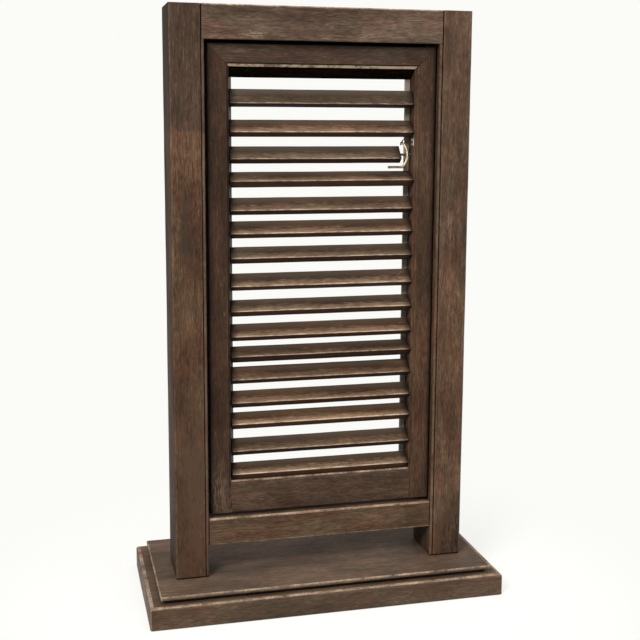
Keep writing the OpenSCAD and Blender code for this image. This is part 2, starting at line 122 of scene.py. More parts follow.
class ShapeSettings(bpy.types.PropertyGroup):
    """Small shapes of the joinery."""
    wave: length_setting("Hand wave", "Unevenness left by hand planing", 0.16)
    bead: length_setting("Bead", "Width of the bead on the posts", 2.8)
    quirk: length_setting("Groove", "Width of the groove beside the bead", 0.9)
    quirk_depth: length_setting("Groove depth", "Depth of the groove beside the bead", 2.4)
    post_round: length_setting("Post edge", "Radius on a post's outer front edge", 1.4)
    foot_joint: length_setting("Foot joint", "Dark line where a post meets the base", 1.7)
    head_joint: length_setting("Head joints", "Dark lines at the head rail's ends", 1.5)
    sill_joint: length_setting("Sill joints", "Dark lines at the sill rail's ends", 0.9)
    head_fall: length_setting("Head rail fall", "How far the head rail's underside falls", 1.1)
    chamfer: length_setting("Leaf chamfer", "Chamfer round the leaf's opening", 3.0)
    leaf_round: length_setting("Leaf edge", "Radius on the leaf's outer front edges", 2.2)
    left_mitre: length_setting("Left mitre", "Dark line at the left mitre", 0.35)
    right_mitre: length_setting("Right mitre", "Dark line at the right mitre", 0.7)
    # Painted shade that the frame casts on the leaf: how far it reaches
    shade_reach: length_setting("Shaded edge", "How far grime reaches onto the leaf from the frame", 7.0)
    pin_edge: length_setting("Pinned edge", "Radius of the stile about its pins", 4.0)
    slat_width: length_setting("Slat width", "Width of a slat", 16.0)
    slat_thickness: length_setting("Slat thickness", "Thickness of a slat", 8.2)
    slat_edge: length_setting("Slat edge", "Radius along a slat's upper edges", 0.5)
    slat_belly: length_setting("Slat lower edge", "Radius along a slat's lower edges", 1.3)
    # Painted shade at a slat's ends beside the stiles: how far it reaches
    slat_end_shade: length_setting("Slat end soil", "How far grime reaches along a slat from its ends", 8.0)
    slat_gap: length_setting("Slat end gap", "Gap between a slat and the stile", 1.2)
    slat_short: length_setting("Short slat", "Length cut from the slat behind the hook", 12.4)
    pintle: length_setting("Pintle", "Radius of a slat's end pintles", 1.2)
    stop_lip: length_setting("Stop thickness", "Thickness of the strips behind the slats", 3.7)
    cove: length_setting("Base cove", "Radius of the hollow under the upper base board", 4.6)
    base_round: length_setting("Base edge", "Radius along the lower board's upper edges", 2.6)
    plinth_round: length_setting("Upper board edge", "Radius along the upper board's upper edges", 0.7)


class StageSettings(bpy.types.PropertyGroup):
    """Camera and light."""
    camera_at: FloatVectorProperty(
        name="Camera", description="Place of the camera", subtype="TRANSLATION", unit="LENGTH",
        default=(-0.2673, -1.0697, 0.4877))
    yaw: angle_setting("Yaw", "Turn of the camera about the vertical", -0.2397)
    pitch: angle_setting("Pitch", "Downward tilt of the camera", 0.1462)
    roll: angle_setting("Roll", "Turn of the camera about its own axis", 0.0039)
    lens: FloatProperty(
        name="Lens", description="Focal length in millimetres on a 36 mm sensor", default=60.4)
    shift: FloatVectorProperty(
        name="Shift", description="Framing shift as shares of the image", size=2,
        default=(0.0164, -0.0594))
    key_power: power_setting("Key light", "Power of the large front light", 54.0)
    fill_power: power_setting("Fill light", "Power of the light at the right", 10.0)
    top_power: power_setting("Top light", "Power of the light overhead", 14.0)
    sky: FloatProperty(
        name="Room light", description="Level of the even light from all round", min=0, default=0.44)
    backdrop: colour_setting("Backdrop", "Colour seen behind the object", stain(251, 251, 248))


# Small sizes that several pieces share

WEAR_BAND = 0.9 * MM        # how far rubbing reaches from an edge
STRIP_BAND = 0.8 * MM       # the same on the thin stop strips
STATION = 9 * MM            # spacing of points along a straight run
BACK_EDGE = 0.8 * MM        # radius of edges at the back
OPENING_BACK = 0.6 * MM     # radius at the back of the leaf's opening
ARRIS = 0.4 * MM            # radius where a chamfer meets a face
GROOVE_EDGE = 0.5 * MM      # radius beside a post's groove
RAIL_EDGE = 1.0 * MM        # radius of the frame's rails
SILL_EDGE = 1.6 * MM        # radius of the sill's upper front edge
STRIP_EDGE = 0.5 * MM       # radius of the stop strips
BOARD_CORNER = 1.2 * MM     # radius of the base boards' corners
TOUCH = 0.1 * MM            # how near a point counts as on a face
SMOOTH_ANGLE = math.radians(40)


# Mesh making

ARC_STEPS = 4
ROOM_SHARE = 2.2            # a side this many bands long gets points beside its corners


def corner_points(corners, band=WEAR_BAND):
    """Points round a section: each corner is (u, v, radius, kind), and its kind says whether it is rubbed
    pale, darkened or plain.

    A point is (u, v, edge, groove). A side with room for them gets a point at the band's distance
    from each of its corners, where the wear ends, and more points along a long run.
    """
    points = []
    for index, (u, v, radius, kind) in enumerate(corners):
        here = Vector((u, v))
        following = Vector(corners[(index + 1) % len(corners)][:2])
        before = Vector(corners[index - 1][:2]) - here
        after = following - here
        wear = (float(kind == "edge"), float(kind == "groove"))
        turn = before.angle(after) / 2
        reach = radius / math.tan(turn) if radius else 0.0
        room = ROOM_SHARE * (reach + band)
        if before.length > room:
            start = here + before.normalized() * (reach + band)
            points.append((*start, 0.0, 0.0))
        if radius:
            inward = (before.normalized() + after.normalized()).normalized()
            centre = here + inward * (radius / math.sin(turn))
            first = here + before.normalized() * reach - centre
            last = here + after.normalized() * reach - centre
            for step in range(ARC_STEPS + 1):
                spoke = first.lerp(last, step / ARC_STEPS).normalized() * radius
                points.append((*(centre + spoke), *wear))
        else:
            points.append((u, v, *wear))
        if after.length > room:
            end = here + after.normalized() * (reach + band)
            stop = following - after.normalized() * band
            runs = int(after.length / STATION)
            points.append((*end, 0.0, 0.0))
            points += [(*end.lerp(stop, run / runs), 0.0, 0.0) for run in range(1, runs)]
    return points


# Hand planing: its long and short waves, and how far each piece's seed moves them
WAVE_SEED = 1               # fixed, because unseeded noise changes with the clock
LONG_WAVE = 38 * MM
SHORT_WAVE = 11 * MM
SHORT_WAVE_SHARE = 0.35
LONG_SHIFT = (7.3, 3.1, 5.7)
SHORT_SHIFT = (2.9, 8.3, 1.7)


def waver(place, amount, seed):
    """The place moved a little, as a hand plane leaves a surface."""
    long_cell = place / LONG_WAVE + Vector([seed * shift for shift in LONG_SHIFT])
    short_cell = place / SHORT_WAVE + Vector([seed * shift for shift in SHORT_SHIFT])
    return place + amount * (
        noise.noise_vector(long_cell) + SHORT_WAVE_SHARE * noise.noise_vector(short_cell))


def finish_mesh(name, bm):
    """A mesh object from a bmesh, with faces outward and smooth across shallow angles."""
    bmesh.ops.recalc_face_normals(bm, faces=bm.faces)
    mesh = bpy.data.meshes.new(name)
    bm.to_mesh(mesh)
    bm.free()
    for polygon in mesh.polygons:
        polygon.use_smooth = True
    return placed_mesh(name, mesh)


def placed_mesh(name, mesh):
    """An object for a mesh, with sharp edges where its faces turn steeply."""
    mesh.set_sharp_from_angle(angle=SMOOTH_ANGLE)
    piece = bpy.data.objects.new(name, mesh)
    bpy.context.scene.collection.objects.link(piece)
    return piece


def loft(name, rings, seed):
    """A closed piece through rings of (place, edge, groove), capped at both ends."""
    wave = bpy.context.scene.shutter_shape.wave
    noise.seed_set(WAVE_SEED)
    bm = bmesh.new()
    edge_layer = bm.verts.layers.float.new("edge")
    groove_layer = bm.verts.layers.float.new("groove")
    loops = []
    for ring in rings:
        loop = []
        for place, edge, groove in ring:
            vert = bm.verts.new(waver(place, wave, seed))
            vert[edge_layer] = edge
            vert[groove_layer] = groove
            loop.append(vert)
        loops.append(loop)
    size = len(loops[0])
    for lower, upper in zip(loops, loops[1:]):
        for index in range(size):
            after = (index + 1) % size
            bm.faces.new((lower[index], lower[after], upper[after], upper[index]))
    bm.faces.new(list(reversed(loops[0])))
    bm.faces.new(loops[-1])
    return finish_mesh(name, bm)


AXES = {
    "X": lambda u, v, along: Vector((along, u, v)),
    "Z": lambda u, v, along: Vector((u, v, along)),
}
JOINT_INSET_SHARE = 0.4     # a joint line's depth by its width
JOINT_DARK_SHARE = 0.8      # the part of a joint line's width that is fully dark


def joint_stops(width):
    """Stations of a dark joint line: how far along, how far in and how dark."""
    if not width:
        return [(0.0, 0.0, 0.0)]
    return [(0.0, JOINT_INSET_SHARE * width, 1.0), (JOINT_DARK_SHARE * width, 0.0, 1.0), (width, 0.0, 0.0)]


def member(name, axis, section, start, end, seed, joints=(0.0, 0.0), shape=None):
    """A bar of wood with one section: start and end give where each point of the section ends.

    joints are the widths of the dark lines at the two ends, where the bar meets its neighbours,
    and shape(points, along) may change the section on the way, as a stopped chamfer does.
    """
    us = [point[0] for point in section]
    vs = [point[1] for point in section]
    middle = Vector(((min(us) + max(us)) / 2, (min(vs) + max(vs)) / 2))
    half = Vector(((max(us) - min(us)) / 2, (max(vs) - min(vs)) / 2))
    length = end(*middle) - start(*middle)
    count = max(2, int(length / STATION))
    stations = [(stop / length, inset, dark) for stop, inset, dark in joint_stops(joints[0])]
    stations += [(step / count, 0.0, 0.0) for step in range(1, count)]
    stations += [(1 - stop / length, inset, dark)
                 for stop, inset, dark in reversed(joint_stops(joints[1]))]
    rings = []
    for share, inset, dark in stations:
        along_middle = start(*middle) * (1 - share) + end(*middle) * share
        points = shape(section, along_middle) if shape else section
        ring = []
        for u, v, edge, groove in points:
            along = start(u, v) * (1 - share) + end(u, v) * share
            u_in = middle.x + (u - middle.x) * (1 - inset / half.x)
            v_in = middle.y + (v - middle.y) * (1 - inset / half.y)
            ring.append((AXES[axis](u_in, v_in, along), edge * (1 - dark), max(groove, dark)))
        rings.append(ring)
    return loft(name, rings, seed)


def flat(value):
    """An end that is square to the bar."""
    return lambda u, v: value


def eased_box(low_u, low_v, high_u, high_v, radius):
    """The corners of a plain section with worn edges."""
    return [(low_u, low_v, radius, "edge"), (high_u, low_v, radius, "edge"),
            (high_u, high_v, radius, "edge"), (low_u, high_v, radius, "edge")]


def shaded(points, hidden):
    """The section's points with full painted shade on those that the test calls hidden."""
    return [(u, v, 0.0, 1.0) if hidden(u, v) else (u, v, edge, groove)
            for u, v, edge, groove in points]


def with_painted_shade(points, nearness):
    """The section's points darkened with painted shade by how near the shade they are, from 0 to 1."""
    return [(u, v, edge * (1 - nearness(u, v)), max(groove, nearness(u, v)))
            for u, v, edge, groove in points]


def rubbed(points, bare):
    """The section's points made pale where the test calls them bare: wear, and on the leaf's rails painted
    highlight too.
    """
    return [(u, v, 1.0 if bare(u, v) else edge, groove) for u, v, edge, groove in points]


BOARD_RIM = 1.0 * MM        # a board's corners are rubbed out to this inset
CORNER_RUB_SHARE = 0.7


def board(name, node, profile, seed):
    """A board from a moulded edge: profile lists (inset, height, edge, groove) from below."""
    corner_low, corner_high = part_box(node)
    half_w = (corner_high.x - corner_low.x) / 2
    half_d = (corner_high.y - corner_low.y) / 2
    middle = (corner_low + corner_high) / 2
    outline = corner_points(
        [(side_u * half_w, side_v * half_d, BOARD_CORNER, "edge")
         for side_u, side_v in ((1, 1), (-1, 1), (-1, -1), (1, -1))], BOARD_CORNER)
    rings = []
    for inset, height, edge, groove in profile:
        ring = []
        for u, v, corner_edge, _ in outline:
            u_in = middle.x + u * (1 - inset / half_w)
            v_in = middle.y + v * (1 - inset / half_d)
            rim = corner_edge * CORNER_RUB_SHARE if inset < BOARD_RIM else 0.0
            ring.append((Vector((u_in, v_in, height)), max(edge, rim), groove))
        rings.append(ring)
    return loft(name, rings, seed)


# Node helpers

def group_tree(name, kind, inputs, outputs):
    """A new node group with named sockets: (name, type) for each."""
    tree = bpy.data.node_groups.new(name, kind)
    for socket, socket_type in inputs:
        tree.interface.new_socket(socket, in_out="INPUT", socket_type=socket_type)
    for socket, socket_type in outputs:
        tree.interface.new_socket(socket, in_out="OUTPUT", socket_type=socket_type)
    return tree


def feed(tree, value, socket):
    """Wires an output to a socket, or sets the socket's own value."""
    if isinstance(value, bpy.types.NodeSocket):
        tree.links.new(value, socket)
    else:
        socket.default_value = value


def add(tree, kind, inputs=None, **properties):
    """A node with its properties and inputs: an input is a value or another node's output."""
    node = tree.nodes.new(kind)
    for key, value in properties.items():
        setattr(node, key, value)
    for key, value in (inputs or {}).items():
        feed(tree, value, node.inputs[key])
    return node


def math_node(tree, operation, first, second=None, third=None, clamp=False):
    """The result of one sum on up to three values."""
    given = {index: value for index, value in enumerate((first, second, third)) if value is not None}
    return add(tree, "ShaderNodeMath", given, operation=operation, use_clamp=clamp).outputs[0]


def vector_node(tree, operation, first, second):
    """The result of one sum on two vectors."""
    return add(tree, "ShaderNodeVectorMath", {0: first, 1: second}, operation=operation).outputs[0]


def vector_length(tree, vector):
    node = add(tree, "ShaderNodeVectorMath", {0: vector}, operation="LENGTH")
    return node.outputs["Value"]


def height_of(tree, place):
    """The upright part of a place."""
    return add(tree, "ShaderNodeSeparateXYZ", {0: place}).outputs["Z"]


def attribute(tree, name):
    """A value that the piece's own points carry."""
    return add(tree, "ShaderNodeAttribute", attribute_name=name).outputs["Fac"]


def cloud(tree, vector, scale, detail=2.0, roughness=0.5, distortion=0.0):
    """Noise over a vector, with a scale for each axis."""
    node = add(tree, "ShaderNodeTexNoise", {
        "Vector": vector_node(tree, "MULTIPLY", vector, scale), "Scale": 1.0, "Detail": detail,
        "Roughness": roughness, "Distortion": distortion})
    return node.outputs["Fac"]


def between(tree, value, start, end, kind="SMOOTHSTEP"):
    """The value taken from start..end to 0..1."""
    node = add(tree, "ShaderNodeMapRange", {"Value": value, "From Min": start, "From Max": end},
               interpolation_type=kind)
    return node.outputs["Result"]


SOFT_CLOUD = {"detail": 3.0, "roughness": 0.6}

# The colour sockets of a Mix node, which shares its names with other kinds of socket
MIX_FACTOR, MIX_FIRST, MIX_SECOND, MIX_RESULT = 0, 6, 7, 2


def mixed(tree, factor, first, second, blend="MIX"):
    """Two colours mixed by a factor: each is a socket or a colour."""
    node = add(tree, "ShaderNodeMix", {MIX_FACTOR: factor, MIX_FIRST: first, MIX_SECOND: second},
               data_type="RGBA", blend_type=blend, clamp_factor=True)
    return node.outputs[MIX_RESULT]


def tinted(tree, colour, tint):
    """A colour multiplied by a tint."""
    return mixed(tree, 1.0, colour, tint, "MULTIPLY")


# Shader groups

# The grain's noises: whether it bends with the grain, scale along and across, detail, roughness, twist
GRAIN_NOISES = {
    "streaks": (True, (38, 560, 560), 5.0, 0.68, 0.0),
    "rings": (True, (4.5, 150, 150), 2.0, 0.5, 0.0),
    "mottle": (False, (95, 190, 190), 4.0, 0.65, 0.0),
    "patches": (False, (11, 26, 26), 3.0, 0.6, 0.0),
    "fibre": (True, (150, 1050, 1050), 2.0, 0.6, 0.0),
    "hue": (False, (24, 70, 70), 3.0, 0.6, 0.0),
    "flecks": (True, (110, 900, 900), 1.0, 0.5, 0.0),
    "lines": (True, (75, 760, 760), 1.0, 0.5, 0.4),
}
TONE_SHARES = {"streaks": 0.38, "rings": 0.16, "mottle": 0.24, "patches": 0.12, "fibre": 0.42}
BEND_SCALE = (6, 30, 30)
BEND_REACH = 12 * MM
PORE_RELIEF, MOTTLE_RELIEF, SCRATCH_RELIEF = -0.6, 0.7, -0.5
# Where each mask of the grain begins and is full, as levels of its noise
TONE_ENDS, PORE_ENDS, BLOTCH_ENDS = (0.46, 0.86), (0.62, 0.70), (0.30, 0.72)
HUE_ENDS, SCRATCH_ENDS = (0.38, 0.62), (0.69, 0.76)


def grain_group():
    """Wood grain along X: streaks, rings, mottling, pores, scratches and changes of hue."""
    outputs = ("Tone", "Pores", "Blotch", "Hue", "Scratch", "Height")
    tree = group_tree("Stained grain", "ShaderNodeTree", [("Vector", "NodeSocketVector")],
                      [(name, "NodeSocketFloat") for name in outputs])
    start = add(tree, "NodeGroupInput").outputs["Vector"]
    bend = math_node(tree, "MULTIPLY", cloud(tree, start, BEND_SCALE, 1.0), BEND_REACH)
    shift = add(tree, "ShaderNodeCombineXYZ", {1: bend, 2: bend}).outputs[0]
    bent = vector_node(tree, "ADD", start, shift)
    noises = {name: cloud(tree, bent if bends else start, *values)
              for name, (bends, *values) in GRAIN_NOISES.items()}
    tone = 0.0
    for name, share in TONE_SHARES.items():
        tone = math_node(tree, "MULTIPLY_ADD", noises[name], share, tone)
    pores = between(tree, noises["flecks"], *PORE_ENDS)
    scratch = between(tree, noises["lines"], *SCRATCH_ENDS)
    height = math_node(tree, "MULTIPLY_ADD", pores, PORE_RELIEF, noises["streaks"])
    height = math_node(tree, "MULTIPLY_ADD", noises["mottle"], MOTTLE_RELIEF, height)
    height = math_node(tree, "MULTIPLY_ADD", scratch, SCRATCH_RELIEF, height)
    add(tree, "NodeGroupOutput", {
        "Tone": between(tree, tone, *TONE_ENDS, "LINEAR"), "Pores": pores,
        "Blotch": between(tree, noises["patches"], *BLOTCH_ENDS),
        "Hue": between(tree, noises["hue"], *HUE_ENDS), "Scratch": scratch, "Height": height})
    return tree


COARSE_WEAR, FINE_WEAR = (60, 60, 60), (420, 420, 420)
FINE_WEAR_SHARE = 0.5
EDGE_ENDS, BROKEN_ENDS, GRIME_AND_SHADE_ENDS = (0.35, 1.0), (0.45, 1.15), (0.0, 0.45)


def wear_and_shade_group():
    """Where edges are rubbed pale, and where dirt darkens joints and painted shade darkens recesses and the
    wood beside the frame, from the piece's own attributes.
    """
    tree = group_tree("Rubbed edges and shade", "ShaderNodeTree", [("Vector", "NodeSocketVector")],
                      [("Rub", "NodeSocketFloat"), ("Grime and shade", "NodeSocketFloat")])
    start = add(tree, "NodeGroupInput").outputs["Vector"]
    coarse = cloud(tree, start, COARSE_WEAR, **SOFT_CLOUD)
    broken = math_node(tree, "MULTIPLY_ADD", cloud(tree, start, FINE_WEAR), FINE_WEAR_SHARE, coarse)
    edge = between(tree, attribute(tree, "edge"), *EDGE_ENDS)
    add(tree, "NodeGroupOutput", {
        "Rub": math_node(tree, "MULTIPLY", edge, between(tree, broken, *BROKEN_ENDS)),
        "Grime and shade": math_node(tree, "MULTIPLY", attribute(tree, "groove"),
                           between(tree, coarse, *GRIME_AND_SHADE_ENDS))})
    return tree


RAGGED_SCALE = (160, 160, 45)
RAGGED_REACH = 0.9
SPOT_ENDS = (1.55, 0.75)


def spot_group():
    """A soft stain with a ragged edge round a place."""
    tree = group_tree(
        "Stain spot", "ShaderNodeTree",
        [(name, "NodeSocketVector") for name in ("Vector", "Centre", "Spread")],
        [("Mask", "NodeSocketFloat")])
    given = add(tree, "NodeGroupInput").outputs
    away = vector_node(tree, "SUBTRACT", given["Vector"], given["Centre"])
    length = vector_length(tree, vector_node(tree, "MULTIPLY", away, given["Spread"]))
    ragged = cloud(tree, given["Vector"], RAGGED_SCALE, **SOFT_CLOUD)
    reach = math_node(tree, "MULTIPLY_ADD", ragged, RAGGED_REACH, length)
    add(tree, "NodeGroupOutput", {"Mask": between(tree, reach, *SPOT_ENDS)})
    return tree


GROUPS = {}


def placed_group(tree, maker, vector):
    """A shader group, built once, placed in a material over a vector."""
    if maker not in GROUPS:
        GROUPS[maker] = maker()
    return add(tree, "ShaderNodeGroup", {"Vector": vector}, node_tree=GROUPS[maker])


# Materials

def shader_start(name):
    """A new material: its tree, its Principled shader and its object coordinates."""
    material = bpy.data.materials.new(name)
    material.use_nodes = True
    tree = material.node_tree
    shader = tree.nodes["Principled BSDF"]
    place = add(tree, "ShaderNodeTexCoord").outputs["Object"]
    return material, tree, shader, place


def set_relief(tree, shader, height, strength, depth):
    """Gives a shader small relief from a height."""
    bump = add(tree, "ShaderNodeBump", {"Height": height, "Strength": strength, "Distance": depth})
    feed(tree, bump.outputs[0], shader.inputs["Normal"])


GRAIN_TURN = {"X": (0, 0, 0), "Z": (0, math.pi / 2, 0)}
RED_HUE, OLIVE_HUE = stain(250, 235, 226), stain(240, 244, 233)
BLOTCH_TINT, BLEACHED = stain(196, 190, 186), stain(150, 140, 130)
PORE_SHARE, SCUFF_SHARE = 0.6, 0.22
SPOT_STREAK_ENDS, SCUFF_ENDS = (0.30, 0.72), (0.35, 0.8)
WOOD_ROUGHNESS, BLOTCH_SHINE, GRIME_AND_SHADE_ROUGHNESS = 0.56, -0.10, 0.44
WOOD_GLOSS = 0.12
WOOD_RELIEF = (0.45, 0.4 * MM)          # strength and depth


def wood(name, axis, offset, tint, bleach=0.0, rub=1.0, breaks=(), spots=(), front=0.0,
         gloss=WOOD_GLOSS, bare=None):
    """Stained wood with its grain along an axis: offset says which stretch of the grain it shows.

    breaks are (height, tint above) where a post's tone changes at a joint in its length,
    spots are (centre, spread, colour, strength) for single stains, front is how strongly
    a slat is painted darker at its back and lighter towards its front, as painted shade and light, and bare
    is the tone of rubbed edges.
    """
    colours = bpy.context.scene.shutter_wood
    material, tree, shader, place = shader_start(name)
    turned = add(tree, "ShaderNodeMapping", {
        "Vector": place, "Rotation": GRAIN_TURN[axis], "Location": offset}).outputs[0]
    grain = placed_group(tree, grain_group, turned).outputs
    wear = placed_group(tree, wear_and_shade_group, place).outputs
    colour = tinted(tree, grain_ramp(tree, grain["Tone"], colours), tint)
    colour = mixed(tree, grain["Hue"], tinted(tree, colour, OLIVE_HUE), tinted(tree, colour, RED_HUE))
    for height, upper in breaks:
        colour = broken_tone(tree, place, colour, height, upper)
    colour = mixed(tree, grain["Blotch"], tinted(tree, colour, BLOTCH_TINT), colour)
    for centre, spread, spot_colour, strength in spots:
        spot = placed_group(tree, spot_group, place)
        spot.inputs["Centre"].default_value = centre
        spot.inputs["Spread"].default_value = spread
        streaked = between(tree, grain["Tone"], *SPOT_STREAK_ENDS)
        amount = math_node(tree, "MULTIPLY", spot.outputs["Mask"], strength)
        colour = mixed(tree, math_node(tree, "MULTIPLY", amount, streaked), colour, spot_colour)
    pores = math_node(tree, "MULTIPLY", grain["Pores"], PORE_SHARE)
    colour = mixed(tree, pores, colour, colours.deep)
    scuffs = math_node(tree, "MULTIPLY", grain["Scratch"], between(tree, grain["Tone"], *SCUFF_ENDS))
    colour = mixed(tree, math_node(tree, "MULTIPLY", scuffs, SCUFF_SHARE), colour, colours.worn_and_highlight)
    # a slat's painted shade behind, painted light in front and painted highlight on its upper front edge
    if front:
        colour = slat_colour(tree, grain["Tone"], colour, front, colours.worn_and_highlight)
    if bleach:
        colour = mixed(tree, bleach, colour, BLEACHED)
    edges = math_node(tree, "MULTIPLY", wear["Rub"], rub, clamp=True)
    colour = mixed(tree, edges, colour, bare or colours.worn_and_highlight)
    # dirt in joints and painted shade in recesses darken the colour
    feed(tree, mixed(tree, wear["Grime and shade"], colour, colours.grime_and_shade), shader.inputs["Base Color"])
    sheen = math_node(tree, "MULTIPLY_ADD", grain["Blotch"], BLOTCH_SHINE, WOOD_ROUGHNESS)
    rough = math_node(tree, "MULTIPLY_ADD", wear["Grime and shade"], GRIME_AND_SHADE_ROUGHNESS, sheen, clamp=True)
    feed(tree, rough, shader.inputs["Roughness"])
    shader.inputs["Specular IOR Level"].default_value = gloss
    set_relief(tree, shader, grain["Height"], *WOOD_RELIEF)
    return material


def grain_ramp(tree, tone, colours):
    """The wood's colour from dark to pale streaks."""
    ramp = add(tree, "ShaderNodeValToRGB", {0: tone})
    ramp.color_ramp.elements[0].color = colours.deep
    ramp.color_ramp.elements[1].color = colours.pale
    ramp.color_ramp.elements.new(0.5).color = colours.middle
    return ramp.outputs["Color"]


BREAK_SCALE = (300, 300, 300)
BREAK_WOBBLE, BREAK_WIDTH = 1.6 * MM, 1.2 * MM


def broken_tone(tree, place, colour, height, upper):
    """A colour that changes by a tint above a slightly uneven line."""
    wobble = cloud(tree, place, BREAK_SCALE)
    level = math_node(tree, "MULTIPLY_ADD", wobble, BREAK_WOBBLE, height_of(tree, place))
    step = between(tree, level, height, height + BREAK_WIDTH)
    return mixed(tree, step, colour, tinted(tree, colour, upper))


# Painted shade at a slat's back and on its lower faces, and painted light towards its front
SLAT_REAR_SHADE, SLAT_FORE_LIGHT, SLAT_LIP_SHADE = stain(84, 78, 68), stain(170, 141, 114), stain(150, 128, 116)
SLAT_REAR_SHADE_SHARE = 0.5
SLAT_STREAK, SLAT_SET_BACK = 0.5, 0.25
# Strength of the painted highlight along a slat's upper front edge
ARRIS_HIGHLIGHT, ARRIS_FRONT_HIGHLIGHT = 0.25, 1.4
# Where each band of a slat begins and is full, from its back at 0 to its front at 1
REAR_ENDS, FORE_ENDS = (0.05, 0.5), (0.45, 1.05)
ARRIS_ENDS, LIP_ENDS = (0.90, 0.95), (0.7, 0.95)
ARRIS_STREAK_ENDS = (0.3, 0.7)


def slat_colour(tree, tone, colour, front, worn_and_highlight):
    """A slat's colour: painted shade behind, painted light towards the front, and a pale painted highlight
    along its upper front edge over painted shade on the lip.
    """
    near, lip = attribute(tree, "front"), attribute(tree, "lip")
    set_back = math_node(tree, "SUBTRACT", near, SLAT_SET_BACK)
    broken = math_node(tree, "MULTIPLY_ADD", tone, SLAT_STREAK, set_back)
    rear = mixed(tree, SLAT_REAR_SHADE_SHARE, colour, SLAT_REAR_SHADE)
    fore = mixed(tree, front, colour, SLAT_FORE_LIGHT)
    colour = mixed(tree, between(tree, broken, *REAR_ENDS), rear, colour)
    colour = mixed(tree, between(tree, broken, *FORE_ENDS), colour, fore)
    above = math_node(tree, "SUBTRACT", 1.0, lip)
    arris = math_node(tree, "MULTIPLY", between(tree, near, *ARRIS_ENDS), above)
    arris = math_node(tree, "MULTIPLY", arris, between(tree, tone, *ARRIS_STREAK_ENDS))
    arris = math_node(tree, "MULTIPLY", arris, ARRIS_HIGHLIGHT + ARRIS_FRONT_HIGHLIGHT * front)
    colour = mixed(tree, arris, colour, worn_and_highlight)
    fore_lip = math_node(tree, "MULTIPLY", lip, between(tree, near, *LIP_ENDS))
    return mixed(tree, fore_lip, colour, tinted(tree, colour, SLAT_LIP_SHADE))


TARNISH_SCALE = (260, 260, 260)
SCRATCH_SCALE = (2340, 2340, 520)
SCRATCH_SHARE = 0.25
TARNISH_WIDTH, TARNISH_ROUGHNESS = 0.35, 0.22
STAINED_BAND, STAINED_SHARE = 3 * MM, 0.85
METAL_RELIEF = (0.2, 0.08 * MM)         # strength and depth


def metal(name, bright, dull, roughness, tarnish=0.5, stained=None):
    """Metal with tarnish in clouds and fine scratches: stained is (height, colour below it)."""
    material, tree, shader, place = shader_start(name)
    clouds = cloud(tree, place, TARNISH_SCALE, **SOFT_CLOUD)
    scratched = math_node(tree, "MULTIPLY_ADD", cloud(tree, place, SCRATCH_SCALE), SCRATCH_SHARE, clouds)
    begin = 1.0 - tarnish
    mask = between(tree, scratched, begin, begin + TARNISH_WIDTH)
    colour = mixed(tree, mask, bright, dull)
    if stained:
        height, below = stained
        lower = between(tree, height_of(tree, place), height + STAINED_BAND, height - STAINED_BAND)
        colour = mixed(tree, math_node(tree, "MULTIPLY", lower, STAINED_SHARE), colour, below)
    feed(tree, colour, shader.inputs["Base Color"])
    rough = math_node(tree, "MULTIPLY_ADD", mask, TARNISH_ROUGHNESS, roughness)
    feed(tree, rough, shader.inputs["Roughness"])
    shader.inputs["Metallic"].default_value = 1.0
    set_relief(tree, shader, clouds, *METAL_RELIEF)
    return material


# Painted shade in recesses: how finely its near-black tone is mottled
RECESS_MOTTLE = (140, 140, 140)
RECESS_LEVEL = 0.9


def recess():
    """Painted shade: dull near-black wood for gaps that no light reaches."""
    material, tree, shader, place = shader_start("Recess painted shade")
    shade_mottle = cloud(tree, place, RECESS_MOTTLE, **SOFT_CLOUD)
    feed(tree, mixed(tree, shade_mottle, stain(10, 8, 6), stain(34, 26, 22)), shader.inputs["Base Color"])
    shader.inputs["Roughness"].default_value = 1.0
    shader.inputs["Specular IOR Level"].default_value = 0.0
    return material


def darken_recess(piece):
    """The faces whose points are all in a recess take the dark material of painted shade."""
    groove = piece.data.attributes["groove"].data
    piece.data.materials.append(recess())
    for polygon in piece.data.polygons:
        if min(groove[index].value for index in polygon.vertices) > RECESS_LEVEL:
            polygon.material_index = 1


def dress(piece, material, body, slot, *nodes):
    """Gives a piece its material, its body and the nodes that it stands for."""
    piece.data.materials.clear()
    piece.data.materials.append(material)
    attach(piece, body)
    if nodes:
        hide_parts(*nodes)
    return piece


def paint(node, material):
    """A better material on a solid that keeps its own shape."""
    mesh = frame["nodes"][node].data
    mesh.materials.clear()
    mesh.materials.append(material)


# Base

BOARD_FOOT = 0.8 * MM                   # ease along the lower board's foot
BOARD_TOP_RINGS = (12 * MM, 40 * MM)    # insets of the points on a board's top
ROUND_STEPS, PLINTH_STEPS = 6, 4
RUBBED_FROM_SHARE = 0.4                 # the part of the lower board's round edge that stays dark
LOWER_RUB, LOWER_RUB_END = 1.0 * MM, 2.6 * MM
UPPER_RUB_END = 1.2 * MM
BOARD_SET_BACK = 5 * MM                 # how far the upper board's underside is hidden


def quarter(steps):
    """The angles of a quarter turn, each with its share of the turn."""
    return [(step / steps, math.pi / 2 * step / steps) for step in range(steps + 1)]


